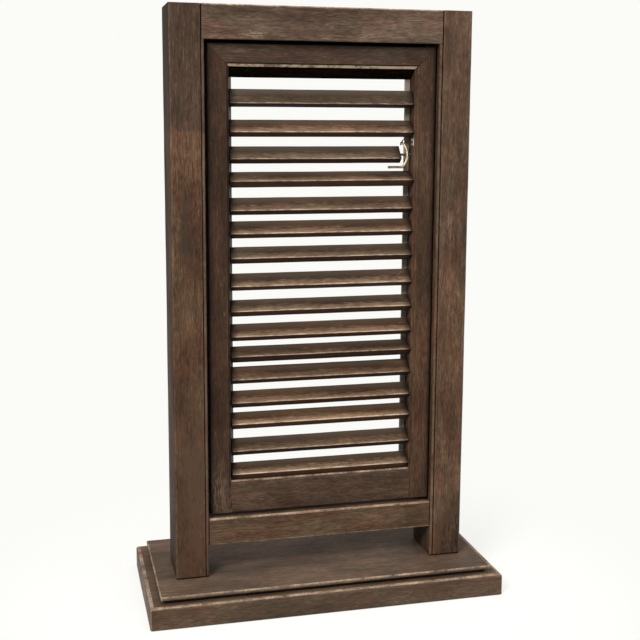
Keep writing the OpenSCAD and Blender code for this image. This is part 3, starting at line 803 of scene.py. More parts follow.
class SHUTTER_OT_base(bpy.types.Operator):
    """Two stacked base boards and the screws under them"""
    bl_idname = "shutter.base"
    bl_label = "Base boards"

    def lower(self, shape):
        """The lower board, with a round upper edge that is rubbed pale."""
        stained = wood("Base board stain", "X", (0.31, 0.12, 0.4), stain(218, 206, 190),
                       bleach=0.06, rub=0.75)
        bottom, top = low("base_lower").z, high("base_lower").z
        r = shape.base_round
        profile = [(BOARD_FOOT, bottom, 0.0, 0.0), (0.0, bottom + BOARD_FOOT, 0.0, 0.0),
                   (0.0, top - r - UPPER_RUB_END, 0.0, 0.0)]
        profile += [(r * (1 - math.cos(a)), top - r * (1 - math.sin(a)),
                     float(share > RUBBED_FROM_SHARE), 0.0) for share, a in quarter(ROUND_STEPS)]
        profile += [(r + LOWER_RUB, top, 1.0, 0.0), (r + LOWER_RUB_END, top, 0.0, 0.0)]
        profile += [(r + inset, top, 0.0, 0.0) for inset in BOARD_TOP_RINGS]
        piece = board("base_board_lower", "base_lower", profile, 1.0)
        dress(piece, stained, "frame", "base_wood", "base_lower")

    def upper(self, shape):
        """The upper board, over a hollow darkened with painted shade."""
        stained = wood("Upper board stain", "X", (0.87, 0.42, 0.1), stain(228, 216, 202),
                       bleach=0.09, rub=0.8)
        bottom, top = low("base_upper").z, high("base_upper").z
        cove, r = shape.cove, shape.plinth_round
        # the hollow's points carry painted shade, full deep inside and fading out towards its front
        profile = [(cove + BOARD_SET_BACK, bottom, 0.0, 1.0)]
        profile += [(cove * math.cos(a), bottom + cove * math.sin(a), 0.0, 1 - share)
                    for share, a in quarter(ROUND_STEPS)]
        profile += [(r * (1 - math.cos(a)), top - r * (1 - math.sin(a)), 1.0, 0.0)
                    for share, a in quarter(PLINTH_STEPS)]
        profile += [(r + inset, top, 0.0, 0.0) for inset in (UPPER_RUB_END, *BOARD_TOP_RINGS)]
        piece = board("base_board_upper", "base_upper", profile, 2.0)
        dress(piece, stained, "frame", "base_wood", "base_upper")

    def execute(self, context):
        self.lower(context.scene.shutter_shape)
        self.upper(context.scene.shutter_shape)
        paint("base_screws", metal("Screw steel", stain(150, 150, 148), stain(92, 84, 76), 0.34))
        return {"FINISHED"}


# Frame

FRONT_FACE = -0.037
# Stains on the posts and the head rail: centre, how tightly they sit on each axis, colour, strength
LEFT_POST_STAINS = [
    ((-0.135, FRONT_FACE, 0.446), (30, 26, 36), stain(136, 100, 70), 0.22),
    ((-0.137, FRONT_FACE, 0.372), (105, 60, 46), stain(52, 44, 35), 1.5),
    ((-0.139, FRONT_FACE, 0.402), (210, 60, 46), stain(52, 44, 35), 0.9),
    ((-0.1495, FRONT_FACE, 0.386), (330, 60, 150), stain(62, 36, 40), 1.4),
    ((-0.135, FRONT_FACE, 0.10), (20, 20, 6), stain(66, 50, 40), 0.7)]
RIGHT_POST_STAINS = [
    ((0.133, FRONT_FACE, 0.380), (80, 60, 46), stain(134, 112, 94), 0.36),
    ((0.146, FRONT_FACE, 0.045), (34, 30, 20), stain(44, 33, 26), 1.1)]
HEAD_RAIL_STAINS = [((-0.0715, FRONT_FACE, 0.5725), (60, 60, 260), stain(150, 128, 108), 0.6)]
# Heights where a post's tone changes, and the tint above each
LEFT_POST_BREAKS = [(0.4805, stain(224, 232, 244))]
RIGHT_POST_BREAKS = [(0.3616, stain(246, 250, 252)), (0.347, stain(244, 246, 248))]
BEAD_SHARE = 0.98                       # how full the bead's round is
# Painted shade on a post's inner and outer sides, and how near the inner face a point takes it
INNER_SHADE, OUTER_SHADE = 0.5, 0.42
INNER_SHADE_REACH = 0.4 * MM
HEAD_FRONT = 1.5 * MM                   # the strip of the head rail's underside that keeps no painted shade


class SHUTTER_OT_frame(bpy.types.Operator):
    """Two posts with a bead and groove, and the frame's two rails"""
    bl_idname = "shutter.frame"
    bl_label = "Frame"

    def post(self, shape, side, material, seed):
        """A post: the bead and groove end under the head rail, where the post is notched for it."""
        node = "post_right" if side > 0 else "post_left"
        box_low, box_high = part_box(node)
        inner, outer = (box_low.x, box_high.x) if side > 0 else (box_high.x, box_low.x)
        front, back = box_low.y, box_high.y
        foot, shoulder, top = high("base_upper").z, low("head_rail").z, box_high.z
        bead_line = inner + side * shape.bead
        notch = inner + side * (shape.bead + shape.quirk)
        floor = front + shape.quirk_depth
        bead_round = BEAD_SHARE * shape.bead / 2
        outside = [(outer, front, shape.post_round, "edge"), (outer, back, BACK_EDGE, "edge")]
        beaded = outside + [
            (inner, back, BACK_EDGE, "edge"), (inner, front, bead_round, "edge"),
            (bead_line, front, bead_round, "edge"), (bead_line, floor, 0, "groove"),
            (notch, floor, 0, "groove"), (notch, front, GROOVE_EDGE, "edge")]
        notched = outside + [(notch, back, BACK_EDGE, "edge"), (notch, front, GROOVE_EDGE, "edge")]

        # painted shade on the post's inner and outer side faces
        def sides(u, v):
            if abs(u - inner) < INNER_SHADE_REACH and v > front + 2 * shape.bead:
                return INNER_SHADE
            return OUTER_SHADE if abs(u - outer) < TOUCH else 0.0
        lower = member(node + "_shaft", "Z", with_painted_shade(corner_points(beaded), sides),
                       flat(foot), flat(shoulder), seed, joints=(shape.foot_joint, 0.0))
        dress(lower, material, "frame", "frame_wood", node)
        upper = member(node + "_top", "Z", with_painted_shade(corner_points(notched), sides),
                       flat(shoulder), flat(top), seed)
        dress(upper, material, "frame", "frame_wood", node)

    def head(self, shape):
        """The head rail: its underside falls to the back and is painted dark as shade over the leaf."""
        material = wood("Head rail stain", "X", (0.45, 0.2, 0.9), stain(240, 238, 241), rub=0.8,
                        spots=HEAD_RAIL_STAINS)
        inner = low("post_right").x + shape.bead + shape.quirk
        box_low, box_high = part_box("head_rail")
        outline = [(box_low.y, box_low.z, RAIL_EDGE, "plain"),
                   (box_high.y, box_low.z - shape.head_fall, RAIL_EDGE, "plain"),
                   (box_high.y, box_high.z, RAIL_EDGE, "edge"), (box_low.y, box_high.z, RAIL_EDGE, "edge")]

        # the underside behind its front strip takes painted shade
        def underside(u, v):
            return v < box_low.z + TOUCH and u > box_low.y + HEAD_FRONT
        piece = member("head_rail_bar", "X", shaded(corner_points(outline), underside),
                       flat(-inner), flat(inner), 5.0, joints=(shape.head_joint, shape.head_joint))
        dress(piece, material, "frame", "frame_wood", "head_rail")
        darken_recess(piece)

    def sill(self, shape):
        """The sill rail, rounder along its upper front edge."""
        material = wood("Sill rail stain", "X", (0.75, 0.6, 0.2), stain(222, 212, 200), rub=0.7)
        box_low, box_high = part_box("sill_rail")
        inner = low("post_right").x
        outline = eased_box(box_low.y, box_low.z, box_high.y, box_high.z, RAIL_EDGE)
        outline[-1] = (box_low.y, box_high.z, SILL_EDGE, "edge")
        piece = member("sill_rail_bar", "X", corner_points(outline), flat(-inner), flat(inner), 6.0,
                       joints=(shape.sill_joint, shape.sill_joint))
        dress(piece, material, "frame", "frame_wood", "sill_rail")

    def execute(self, context):
        shape = context.scene.shutter_shape
        left = wood("Left post stain", "Z", (0.2, 0.7, 0.33), stain(222, 204, 190), rub=0.12,
                    breaks=LEFT_POST_BREAKS, spots=LEFT_POST_STAINS)
        right = wood("Right post stain", "Z", (0.61, 0.15, 0.77), stain(240, 224, 212), rub=0.12,
                     breaks=RIGHT_POST_BREAKS, spots=RIGHT_POST_STAINS)
        self.post(shape, -1, left, 3.0)
        self.post(shape, 1, right, 4.0)
        self.head(shape)
        self.sill(shape)
        return {"FINISHED"}


# Leaf

SHADE_FALL = 1.3                         # how fast the painted shade fades from the frame
# shares of the painted shade on the leaf's side faces and under the head rail
SIDE_SHADE_SHARE, HEAD_SHADE_SHARE = 0.25, 0.8
STILE_SHADE_DEPTH = 0.3 * MM             # how far past its front edge a stile is fully in painted shade
RAIL_SHADE_DEPTH = 1.2 * MM              # how far back the top rail is fully in painted shade
CHAMFER_REACH_SHARE, CHAMFER_TURN_SHARE = 1.2, 0.6
CHAMFER_STOP = 2 * MM                   # the length over which a chamfer runs out
# where the painted highlight runs along the top rail's chamfer
LINTEL_HIGHLIGHT_SHARE, LINTEL_HIGHLIGHT_DEPTH = 0.8, 0.5 * MM
# the pale line along the bottom rail's opening edge, partly wear and partly painted highlight
SILL_RUB_SHARE, SILL_DEPTH_SHARE = 0.5, 1.2
PALE_FOOT_IN, PALE_FOOT_UP = 11 * MM, 8 * MM


class SHUTTER_OT_leaf(bpy.types.Operator):
    """The leaf's stiles and rails, mitred at the top and chamfered round the opening"""
    bl_idname = "shutter.leaf"
    bl_label = "Leaf"

    def sizes(self):
        """The leaf's own lines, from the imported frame."""
        left_low, left_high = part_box("leaf_stile_left")
        right_low, right_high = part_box("leaf_stile_right")
        lintel = low("leaf_top_rail").z
        return SimpleNamespace(
            front=left_low.y, back=left_high.y, foot=left_low.z, top=left_high.z,
            sill=high("leaf_bottom_rail").z, lintel=lintel,
            left=left_low.x, open_left=left_high.x, open_right=right_low.x, right=right_high.x,
            slope=(left_high.z - lintel) / (left_high.x - left_low.x))

    def stop_chamfer(self, leaf, c, inner):
        """A change of section: the chamfer's corner slides to the square edge below the opening."""
        def shaped(points, along):
            kept = min(1.0, max(0.0, (along - leaf.sill) / CHAMFER_STOP + 1))
            moved = []
            for u, v, edge, groove in points:
                if abs(u - inner) < c * CHAMFER_REACH_SHARE and v - leaf.front < c * CHAMFER_REACH_SHARE:
                    square_u = inner if abs(u - inner) < CHAMFER_TURN_SHARE * c else u
                    u = square_u + (u - square_u) * kept
                    if abs(u - inner) < CHAMFER_TURN_SHARE * c:
                        v = leaf.front + (v - leaf.front) * kept
                moved.append((u, v, edge, groove))
            return moved
        return shaped

    def stile(self, shape, leaf, side, tone):
        """A stile: painted shade beside its post, mitred at the top, with a stopped chamfer."""
        node, outer, inner, back_round = (
            ("leaf_stile_right", leaf.right, leaf.open_right, shape.pin_edge) if side > 0 else
            ("leaf_stile_left", leaf.left, leaf.open_left, BACK_EDGE))
        front, c, r, shade_reach = leaf.front, shape.chamfer, shape.leaf_round, shape.shade_reach
        outline = [(outer, front, r, "edge"), (outer, leaf.back, back_round, "edge"),
                   (inner, leaf.back, OPENING_BACK, "edge"), (inner, front + c, ARRIS, "edge"),
                   (inner + side * c, front, ARRIS, "edge"),
                   (outer - side * shade_reach, front, 0, "plain"), (outer - side * shade_reach / 2, front, 0, "plain")]

        # painted shade of the post over the stile's outer part
        def near_post(u, v):
            reach = max(0.0, 1 - abs(u - outer) / shade_reach) ** SHADE_FALL
            return reach if v < front + r + STILE_SHADE_DEPTH else SIDE_SHADE_SHARE * reach

        def mitre(u, v):
            return leaf.lintel + leaf.slope * max(0.0, side * (u - inner))
        pale_foot = ((outer - side * PALE_FOOT_IN, front, leaf.foot + PALE_FOOT_UP), (24, 24, 21),
                     stain(122, 101, 86), 0.4)
        material = wood(node + " stain", "Z", (0.3 * side, 0.5, 0.2), tone, rub=0.08,
                        spots=[pale_foot] if side < 0 else [])
        piece = member(node + "_bar", "Z", with_painted_shade(corner_points(outline), near_post),
                       flat(leaf.foot), mitre, 7.0 + side, shape=self.stop_chamfer(leaf, c, inner))
        dress(piece, material, "leaf", "leaf_wood", node)

    def top_rail(self, shape, leaf):
        """The top rail: painted shadow under the head rail, and a painted highlight along its chamfer."""
        front, back, top, lintel = leaf.front, leaf.back, leaf.top, leaf.lintel
        c, shade_reach = shape.chamfer, shape.shade_reach
        outline = [(back, lintel, OPENING_BACK, "edge"), (back, top, BACK_EDGE, "edge"),
                   (front, top, BACK_EDGE, "edge"), (front, top - shade_reach / 2, 0, "plain"),
                   (front, top - shade_reach, 0, "plain"), (front, lintel + c, ARRIS, "groove"),
                   (front + c, lintel, ARRIS, "edge")]

        # painted shadow of the head rail over the rail's upper part
        def near_head(u, v):
            reach = HEAD_SHADE_SHARE * max(0.0, 1 - (top - v) / shade_reach) ** SHADE_FALL
            return reach if u < front + RAIL_SHADE_DEPTH else SIDE_SHADE_SHARE * reach

        # painted highlight along the chamfer's lower edge
        def chamfer_highlight(u, v):
            return v < lintel + LINTEL_HIGHLIGHT_SHARE * c and u < front + c + LINTEL_HIGHLIGHT_DEPTH

        def left_end(u, v):
            return leaf.open_left - (v - lintel) / leaf.slope

        def right_end(u, v):
            return leaf.open_right + (v - lintel) / leaf.slope
        section = rubbed(with_painted_shade(corner_points(outline), near_head), chamfer_highlight)
        piece = member("leaf_top_rail_bar", "X", section, left_end, right_end, 9.0,
                       joints=(shape.left_mitre, shape.right_mitre))
        # the strong rub and pale bare tone also paint the chamfer's highlight
        material = wood("Top rail stain", "X", (0.15, 0.35, 0.6), stain(192, 187, 187), rub=2.2,
                        bare=stain(212, 188, 160))
        dress(piece, material, "leaf", "leaf_wood", "leaf_top_rail")

    def bottom_rail(self, shape, leaf):
        """The bottom rail, with a pale line along the opening's lower edge: partly wear, partly painted
        highlight.
        """
        front, back, foot, sill, c = leaf.front, leaf.back, leaf.foot, leaf.sill, shape.chamfer
        outline = [(back, foot, BACK_EDGE, "plain"), (back, sill, OPENING_BACK, "plain"),
                   (front + c, sill, ARRIS, "edge"), (front, sill - c, ARRIS, "plain"),
                   (front, foot, BACK_EDGE, "plain")]

        def upper_edge(u, v):
            return v > sill - SILL_RUB_SHARE * c and u < front + SILL_DEPTH_SHARE * c
        piece = member("leaf_bottom_rail_bar", "X", rubbed(corner_points(outline), upper_edge),
                       flat(leaf.open_left), flat(leaf.open_right), 10.0)
        material = wood("Bottom rail stain", "X", (0.55, 0.05, 0.3), stain(191, 183, 178), rub=1.0)
        dress(piece, material, "leaf", "leaf_wood", "leaf_bottom_rail")

    def execute(self, context):
        shape = context.scene.shutter_shape
        leaf = self.sizes()
        self.stile(shape, leaf, -1, stain(160, 145, 136))
        self.stile(shape, leaf, 1, stain(194, 177, 163))
        self.top_rail(shape, leaf)
        self.bottom_rail(shape, leaf)
        return {"FINISHED"}


class SHUTTER_OT_stops(bpy.types.Operator):
    """The four strips round the opening, behind the slats"""
    bl_idname = "shutter.stops"
    bl_label = "Stop strips"

    def strip(self, side, axis, outline, start, end, seed, material):
        """One strip along an axis."""
        piece = member("stop_%s_strip" % side, axis, corner_points(outline, STRIP_BAND),
                       flat(start), flat(end), seed)
        dress(piece, material, "leaf", "slat_wood", "stop_" + side)

    def execute(self, context):
        # The side strips are bleached pale as painted light, for light caught between the slats
        lightened_grey = wood("Stop strip painted light", "Z", (0.9, 0.3, 0.1), stain(252, 250, 240), bleach=0.9, rub=0.2)
        # The top and bottom strips are stained near black as painted shade under the top rail
        dark = wood("Upper stop painted shade", "X", (0.4, 0.8, 0.1), stain(84, 77, 75), rub=0.05, gloss=0.0)
        for side in ("left", "right"):
            box_low, box_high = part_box("stop_" + side)
            outline = eased_box(box_low.x, box_low.y, box_high.x, box_high.y, STRIP_EDGE)
            self.strip(side, "Z", outline, box_low.z, box_high.z, 11.0, lightened_grey)
        box_low, box_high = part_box("stop_top")
        lip = box_high.y - context.scene.shutter_shape.stop_lip
        outline = [(box_low.y, box_high.z, 0, "plain"), (lip, box_low.z, STRIP_EDGE, "edge"),
                   (box_high.y, box_low.z, STRIP_EDGE, "edge"), (box_high.y, box_high.z, 0, "plain")]
        self.strip("top", "X", outline, box_low.x, box_high.x, 12.0, dark)
        box_low, box_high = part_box("stop_bottom")
        outline = eased_box(box_low.y, box_low.z, box_high.y, box_high.z, STRIP_EDGE)
        self.strip("bottom", "X", outline, box_low.x, box_high.x, 13.0, dark)
        return {"FINISHED"}


# Slats

SLAT_STATIONS, SLAT_ROUND_POINTS, PINTLE_SIDES = 48, 5, 20
EDGE_SLOPE, EDGE_START = -2.0, 2.2      # how wear falls with the distance from an edge, in edge radii
# Strength of the painted shade at a slat's ends
END_SHADE = 0.9
LIP_DROP = 0.45                         # the lip begins this many edge radii under the upper face
SLAT_WAVE_SCALE = (22, 60, 60)
NOISE_MIDDLE = (0.5, 0.5, 0.5)


def slat_tree():
    """One slat with its pintles: a rounded section along X, planed by hand, tilted and set in place."""
    sizes = ("Length", "Width", "Thickness", "Edge", "Lower edge", "End soil", "Tilt", "Wave", "Seed",
             "Pintle", "Left reach", "Right reach")
    tree = group_tree(
        "Louvre slat", "GeometryNodeTree",
        [(name, "NodeSocketFloat") for name in sizes]
        + [("Centre", "NodeSocketVector"), ("Stain", "NodeSocketMaterial")],
        [("Geometry", "NodeSocketGeometry")])
    given = add(tree, "NodeGroupInput").outputs

    def result(kind, inputs, **properties):
        return add(tree, kind, inputs, **properties).outputs[0]

    def calc(operation, *values, clamp=False):
        return math_node(tree, operation, *values, clamp=clamp)

    def combined(x, y=0.0):
        return result("ShaderNodeCombineXYZ", {0: x, 1: y})

    half = calc("MULTIPLY", given["Length"], 0.5)
    minus_half = calc("MULTIPLY", given["Length"], -0.5)
    line = result("GeometryNodeCurvePrimitiveLine", {"Start": combined(minus_half), "End": combined(half)})
    spaced = result("GeometryNodeResampleCurve", {"Curve": line, "Count": SLAT_STATIONS})
    section = result("GeometryNodeCurvePrimitiveQuadrilateral",
                     {"Width": given["Width"], "Height": given["Thickness"]})
    place = add(tree, "GeometryNodeInputPosition").outputs[0]
    parts = add(tree, "ShaderNodeSeparateXYZ", {0: place}).outputs
    lower_side = calc("GREATER_THAN", parts["Y"], 0.0)
    fuller = calc("SUBTRACT", given["Lower edge"], given["Edge"])
    radius = calc("MULTIPLY_ADD", lower_side, fuller, given["Edge"])
    rounded = result("GeometryNodeFilletCurve",
                     {"Curve": section, "Count": SLAT_ROUND_POINTS, "Radius": radius}, mode="POLY")
    blade = result("GeometryNodeCurveToMesh",
                   {"Curve": spaced, "Profile Curve": rounded, "Fill Caps": True})

    def inward(size, axis):
        """How far a point lies in from the slat's side along an axis."""
        return calc("SUBTRACT", calc("MULTIPLY", given[size], 0.5), calc("ABSOLUTE", parts[axis]))

    depth = inward("Thickness", "Z")
    from_edge = calc("DIVIDE", calc("ADD", inward("Width", "Y"), depth), given["Edge"])
    from_end = calc("DIVIDE", inward("Length", "X"), given["End soil"])
    upper_side = calc("GREATER_THAN", parts["Z"], 0.0)
    dropped = calc("GREATER_THAN", calc("DIVIDE", depth, given["Edge"]), LIP_DROP)
    marks = {
        "edge": calc("MULTIPLY_ADD", from_edge, EDGE_SLOPE, EDGE_START, clamp=True),
        "front": calc("SUBTRACT", 0.5, calc("DIVIDE", parts["Y"], given["Width"])),
        # groove holds the painted shade at the ends, and lip marks the lower faces for painted shade
        "groove": calc("MULTIPLY_ADD", from_end, -END_SHADE, END_SHADE, clamp=True),
        "lip": calc("MAXIMUM", calc("SUBTRACT", 1.0, upper_side), dropped)}
    for name, value in marks.items():
        blade = result("GeometryNodeStoreNamedAttribute", {"Geometry": blade, "Name": name, "Value": value},
                       data_type="FLOAT", domain="POINT")

    cell = vector_node(tree, "MULTIPLY", place, SLAT_WAVE_SCALE)
    cell = vector_node(tree, "ADD", cell, combined(given["Seed"], given["Seed"]))
    uneven = add(tree, "ShaderNodeTexNoise", {"Vector": cell, "Scale": 1.0}).outputs["Color"]
    centred = vector_node(tree, "SUBTRACT", uneven, NOISE_MIDDLE)
    offset = result("ShaderNodeVectorMath", {0: centred, "Scale": given["Wave"]}, operation="SCALE")
    planed = result("GeometryNodeSetPosition", {"Geometry": blade, "Offset": offset})

    joined = add(tree, "GeometryNodeJoinGeometry", {0: planed})
    for reach, rim, share in (("Left reach", minus_half, -0.5), ("Right reach", half, 0.5)):
        peg = add(tree, "GeometryNodeMeshCylinder", {
            "Vertices": PINTLE_SIDES, "Radius": given["Pintle"], "Depth": given[reach]}, fill_type="NGON")
        laid = result("GeometryNodeTransform", {
            "Geometry": peg.outputs["Mesh"], "Rotation": (0, math.pi / 2, 0),
            "Translation": combined(calc("MULTIPLY_ADD", given[reach], share, rim))})
        feed(tree, laid, joined.inputs[0])

    tilted = result("GeometryNodeTransform", {
        "Geometry": joined.outputs[0], "Rotation": combined(given["Tilt"]), "Translation": given["Centre"]})
    smooth = result("GeometryNodeSetShadeSmooth", {"Geometry": tilted})
    real = result("GeometryNodeRealizeInstances", {"Geometry": smooth})
    dyed = result("GeometryNodeSetMaterial", {"Geometry": real, "Material": given["Stain"]})
    add(tree, "NodeGroupOutput", {"Geometry": dyed})
    return tree


def grown_from(name, tree, values):
    """A plain mesh object from a geometry tree with its inputs set."""
    seedling = bpy.data.objects.new(name + "_seed", bpy.data.meshes.new(name + "_seed"))
    bpy.context.scene.collection.objects.link(seedling)
    modifier = seedling.modifiers.new(name, "NODES")
    modifier.node_group = tree
    sockets = {item.name: item.identifier for item in tree.interface.items_tree
               if item.in_out == "INPUT"}
    for key, value in values.items():
        modifier[sockets[key]] = value
    graph = bpy.context.evaluated_depsgraph_get()
    mesh = bpy.data.meshes.new_from_object(seedling.evaluated_get(graph))
    mesh.name = name
    bpy.data.objects.remove(seedling)
    return placed_mesh(name, mesh)


GREY, BROWN = stain(172, 170, 162), stain(188, 170, 154)
PLAIN, GOLDEN = stain(178, 167, 158), stain(184, 165, 145)
# Each slat's tint from the top down, and how strongly its front is painted lighter as painted light
SLAT_FINISHES = [
    (GREY, 0.08), (BROWN, 0.30), (GREY, 0.18), (PLAIN, 0.28), (PLAIN, 0.22), (BROWN, 0.34),
    (GREY, 0.22), (PLAIN, 0.40), (GREY, 0.34), (BROWN, 0.36), (PLAIN, 0.10), (GOLDEN, 0.20),
    (GOLDEN, 0.26), (GOLDEN, 0.44), (PLAIN, 0.16), (PLAIN, 0.42)]
# Where a slat is scratched along its length
SLAT_SCRATCHES = {"slat_01": (-0.084, -0.026, 0.052)}
SCRATCH_SPREAD, SCRATCH_TONE, SCRATCH_STRENGTH = (80, 230, 230), stain(132, 114, 96), 0.5
SLAT_RUB = 0.8
SLAT_WAVES = 2.4                        # a slat is this much less even than the other pieces
SLAT_SEED = 3.7
SLAT_GRAIN_STEP = (0.13, 0.37, 0.21)


class SHUTTER_OT_slats(bpy.types.Operator):
    """The loose slats, each at its own tilt on its own pintles"""
    bl_idname = "shutter.slats"
    bl_label = "Slats"

    def execute(self, context):
        shape = context.scene.shutter_shape
        tree = slat_tree()
        left, right = high("leaf_stile_left").x, low("leaf_stile_right").x
        for number, node in enumerate(SLATS):
            joint = joint_of(node + "_body")
            pivot_y, pivot_z = joint["pos_m"][1:]
            box_low, box_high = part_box(node)
            cut = shape.slat_short if node == HOOK_SLAT else 0.0
            start, stop = left + shape.slat_gap, right - shape.slat_gap - cut
            tint, front = SLAT_FINISHES[number]
            spots = [((x, pivot_y, pivot_z), SCRATCH_SPREAD, SCRATCH_TONE, SCRATCH_STRENGTH)
                     for x in SLAT_SCRATCHES.get(node, ())]
            material = wood("%s stain" % node, "X", [step * number for step in SLAT_GRAIN_STEP], tint,
                            rub=SLAT_RUB, spots=spots, front=front)
            piece = grown_from(node + "_blade", tree, {
                "Length": stop - start, "Width": shape.slat_width, "Thickness": shape.slat_thickness,
                "Edge": shape.slat_edge, "Lower edge": shape.slat_belly, "End soil": shape.slat_end_shade,
                "Tilt": math.radians(-joint["range_deg"][0]),
                "Wave": SLAT_WAVES * shape.wave, "Seed": SLAT_SEED * number, "Pintle": shape.pintle,
                "Left reach": start - box_low.x, "Right reach": box_high.x - stop,
                "Centre": ((start + stop) / 2, pivot_y, pivot_z), "Stain": material})
            dress(piece, material, node + "_body", "slat_wood", node)
        return {"FINISHED"}


# Ironwork

TAIL_HEIGHT = 5 * MM                    # the hook's tail is stained up to this height over its end


class SHUTTER_OT_hook(bpy.types.Operator):
    """The bent brass hook, the iron bar that it hangs on and the bar's plate"""
    bl_idname = "shutter.hook"
    bl_label = "Hook"

    def execute(self, context):
        tail = low("hook").z + TAIL_HEIGHT
        paint("hook", metal("Hook brass", stain(232, 212, 176), stain(138, 104, 78), 0.3, 0.45,
                            stained=(tail, stain(128, 92, 80))))
        paint("hook_bar", metal("Bar iron", stain(70, 64, 58), stain(44, 34, 28), 0.45, 0.6))
        paint("hook_plate", metal("Plate steel", stain(176, 174, 168), stain(120, 114, 104), 0.38, 0.4))
        return {"FINISHED"}


class SHUTTER_OT_pins(bpy.types.Operator):
    """The pins and the collar that the leaf swings on"""
    bl_idname = "shutter.pins"
    bl_label = "Leaf pins"

    def execute(self, context):
        iron = metal("Pin iron", stain(96, 92, 88), stain(60, 50, 42), 0.42, 0.55)
        for node in ("leaf_pin_top", "leaf_pin_bottom", "leaf_collar"):
            paint(node, iron)
        return {"FINISHED"}


# Stage

# Lamps: place, size and colour
LAMPS = {
    "Key": ((-1.25, -1.45, 1.65), (0.7, 0.7), (1, 0.985, 0.96)),
    "Fill": ((1.2, -1.5, 0.8), (1.0, 1.0), (1, 1, 1)),
    "Top": ((0.1, -0.2, 1.7), (1.2, 0.8), (1, 1, 1)),
}
LAMP_TARGET = Vector((0, 0, 0.3))
SENSOR_WIDTH = 36
FLOOR_RADIUS, FLOOR_SIDES, FLOOR_DROP = 4.0, 96, 0.2 * MM
FLOOR_PALE, FLOOR_BOUNCE = stain(240, 239, 235), stain(120, 119, 116)
FLOOR_GLOW, FAR_GLOW = 0.70, 0.30
SHADOW_ENDS = (0.16, 0.42)              # the floor's shadow fades over these distances


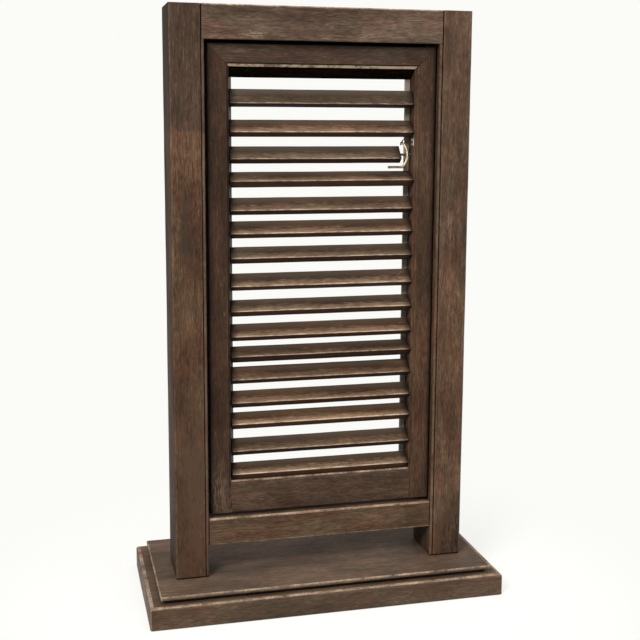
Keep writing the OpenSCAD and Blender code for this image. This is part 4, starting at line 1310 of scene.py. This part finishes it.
class SHUTTER_OT_stage(bpy.types.Operator):
    """Pale floor, soft light and the camera"""
    bl_idname = "shutter.stage"
    bl_label = "Stage"

    def camera(self, context, stage):
        """The camera, from its place, turns and framing shift."""
        data = bpy.data.cameras.new("View")
        data.sensor_width = SENSOR_WIDTH
        data.lens = stage.lens
        data.shift_x, data.shift_y = stage.shift
        view = bpy.data.objects.new("View", data)
        context.scene.collection.objects.link(view)
        ahead = Vector((-math.sin(stage.yaw) * math.cos(stage.pitch),
                        math.cos(stage.yaw) * math.cos(stage.pitch), -math.sin(stage.pitch)))
        right = Vector((math.cos(stage.yaw), math.sin(stage.yaw), 0))
        up = right.cross(ahead)
        c, s = math.cos(stage.roll), math.sin(stage.roll)
        right, up = c * right + s * up, c * up - s * right
        turned = Matrix((right, up, -ahead)).transposed().to_4x4()
        view.matrix_world = Matrix.Translation(Vector(stage.camera_at)) @ turned
        context.scene.camera = view

    def lamp(self, context, name, power):
        """A soft square of light that faces the object."""
        place, size, colour = LAMPS[name]
        data = bpy.data.lights.new(name, "AREA")
        data.shape = "RECTANGLE"
        data.size, data.size_y = size
        data.energy = power
        data.color = colour
        lamp = bpy.data.objects.new(name, data)
        lamp.location = place
        lamp.rotation_euler = (LAMP_TARGET - Vector(place)).to_track_quat("-Z", "Y").to_euler()
        context.scene.collection.objects.link(lamp)

    def floor(self, stage):
        """A pale floor that keeps a soft shadow near the object and turns into the backdrop."""
        bm = bmesh.new()
        bmesh.ops.create_circle(bm, cap_ends=True, segments=FLOOR_SIDES, radius=FLOOR_RADIUS)
        piece = finish_mesh("floor", bm)
        material, tree, shader, place = shader_start("Pale floor")
        path = add(tree, "ShaderNodeLightPath").outputs
        tone = mixed(tree, path["Is Diffuse Ray"], FLOOR_PALE, FLOOR_BOUNCE)
        feed(tree, tone, shader.inputs["Base Color"])
        shader.inputs["Roughness"].default_value = 0.9
        glow = add(tree, "ShaderNodeEmission", {"Color": stage.backdrop})
        far = between(tree, vector_length(tree, place), *SHADOW_ENDS)
        share = math_node(tree, "MULTIPLY_ADD", far, FAR_GLOW, FLOOR_GLOW)
        seen = math_node(tree, "MAXIMUM", path["Is Camera Ray"], path["Is Glossy Ray"])
        seen = math_node(tree, "MAXIMUM", seen, path["Is Transmission Ray"])
        mix = add(tree, "ShaderNodeMixShader", {
            0: math_node(tree, "MULTIPLY", seen, share), 1: shader.outputs[0], 2: glow.outputs[0]})
        feed(tree, mix.outputs[0], tree.nodes["Material Output"].inputs["Surface"])
        piece.data.materials.append(material)
        piece.location.z = -FLOOR_DROP

    def world(self, context, stage):
        """Even room light, with the backdrop's colour where the camera sees past the floor."""
        world = bpy.data.worlds.new("Studio")
        context.scene.world = world
        world.use_nodes = True
        tree = world.node_tree
        room = tree.nodes["Background"]
        room.inputs["Color"].default_value = (1, 1, 1, 1)
        room.inputs["Strength"].default_value = stage.sky
        shown = add(tree, "ShaderNodeBackground", {"Color": stage.backdrop})
        path = add(tree, "ShaderNodeLightPath").outputs
        seen = math_node(tree, "MAXIMUM", path["Is Camera Ray"], path["Is Transmission Ray"])
        mix = add(tree, "ShaderNodeMixShader", {0: seen, 1: room.outputs[0], 2: shown.outputs[0]})
        feed(tree, mix.outputs[0], tree.nodes["World Output"].inputs["Surface"])

    def execute(self, context):
        stage = context.scene.shutter_stage
        context.scene.view_settings.view_transform = "Standard"
        self.camera(context, stage)
        self.floor(stage)
        self.world(context, stage)
        self.lamp(context, "Key", stage.key_power)
        self.lamp(context, "Fill", stage.fill_power)
        self.lamp(context, "Top", stage.top_power)
        return {"FINISHED"}


class SHUTTER_PT_dresser(bpy.types.Panel):
    """Lists the pieces and their settings"""
    bl_idname = "SHUTTER_PT_dresser"
    bl_label = "Louvred shutter"
    bl_space_type = "VIEW_3D"
    bl_region_type = "UI"
    bl_category = "Shutter"

    def draw(self, context):
        layout = self.layout
        for operator in STEPS:
            layout.operator(operator.bl_idname)
        for settings in SETTINGS:
            group = getattr(context.scene, settings)
            box = layout.box()
            for name in group.__annotations__:
                box.prop(group, name)


SETTINGS = {"shutter_wood": WoodSettings, "shutter_shape": ShapeSettings, "shutter_stage": StageSettings}
STEPS = (SHUTTER_OT_base, SHUTTER_OT_frame, SHUTTER_OT_leaf, SHUTTER_OT_stops, SHUTTER_OT_slats,
         SHUTTER_OT_hook, SHUTTER_OT_pins, SHUTTER_OT_stage)


def register():
    for name, settings in SETTINGS.items():
        bpy.utils.register_class(settings)
        setattr(bpy.types.Scene, name, PointerProperty(type=settings))
    for operator in STEPS:
        bpy.utils.register_class(operator)
    bpy.utils.register_class(SHUTTER_PT_dresser)


def unregister():
    bpy.utils.unregister_class(SHUTTER_PT_dresser)
    for operator in reversed(STEPS):
        bpy.utils.unregister_class(operator)
    for name, settings in SETTINGS.items():
        delattr(bpy.types.Scene, name)
        bpy.utils.unregister_class(settings)


def main():
    register()
    bpy.ops.shutter.base()
    bpy.ops.shutter.frame()
    bpy.ops.shutter.leaf()
    bpy.ops.shutter.stops()
    bpy.ops.shutter.slats()
    bpy.ops.shutter.hook()
    bpy.ops.shutter.pins()
    bpy.ops.shutter.stage()


if __name__ == "__main__":
    main()
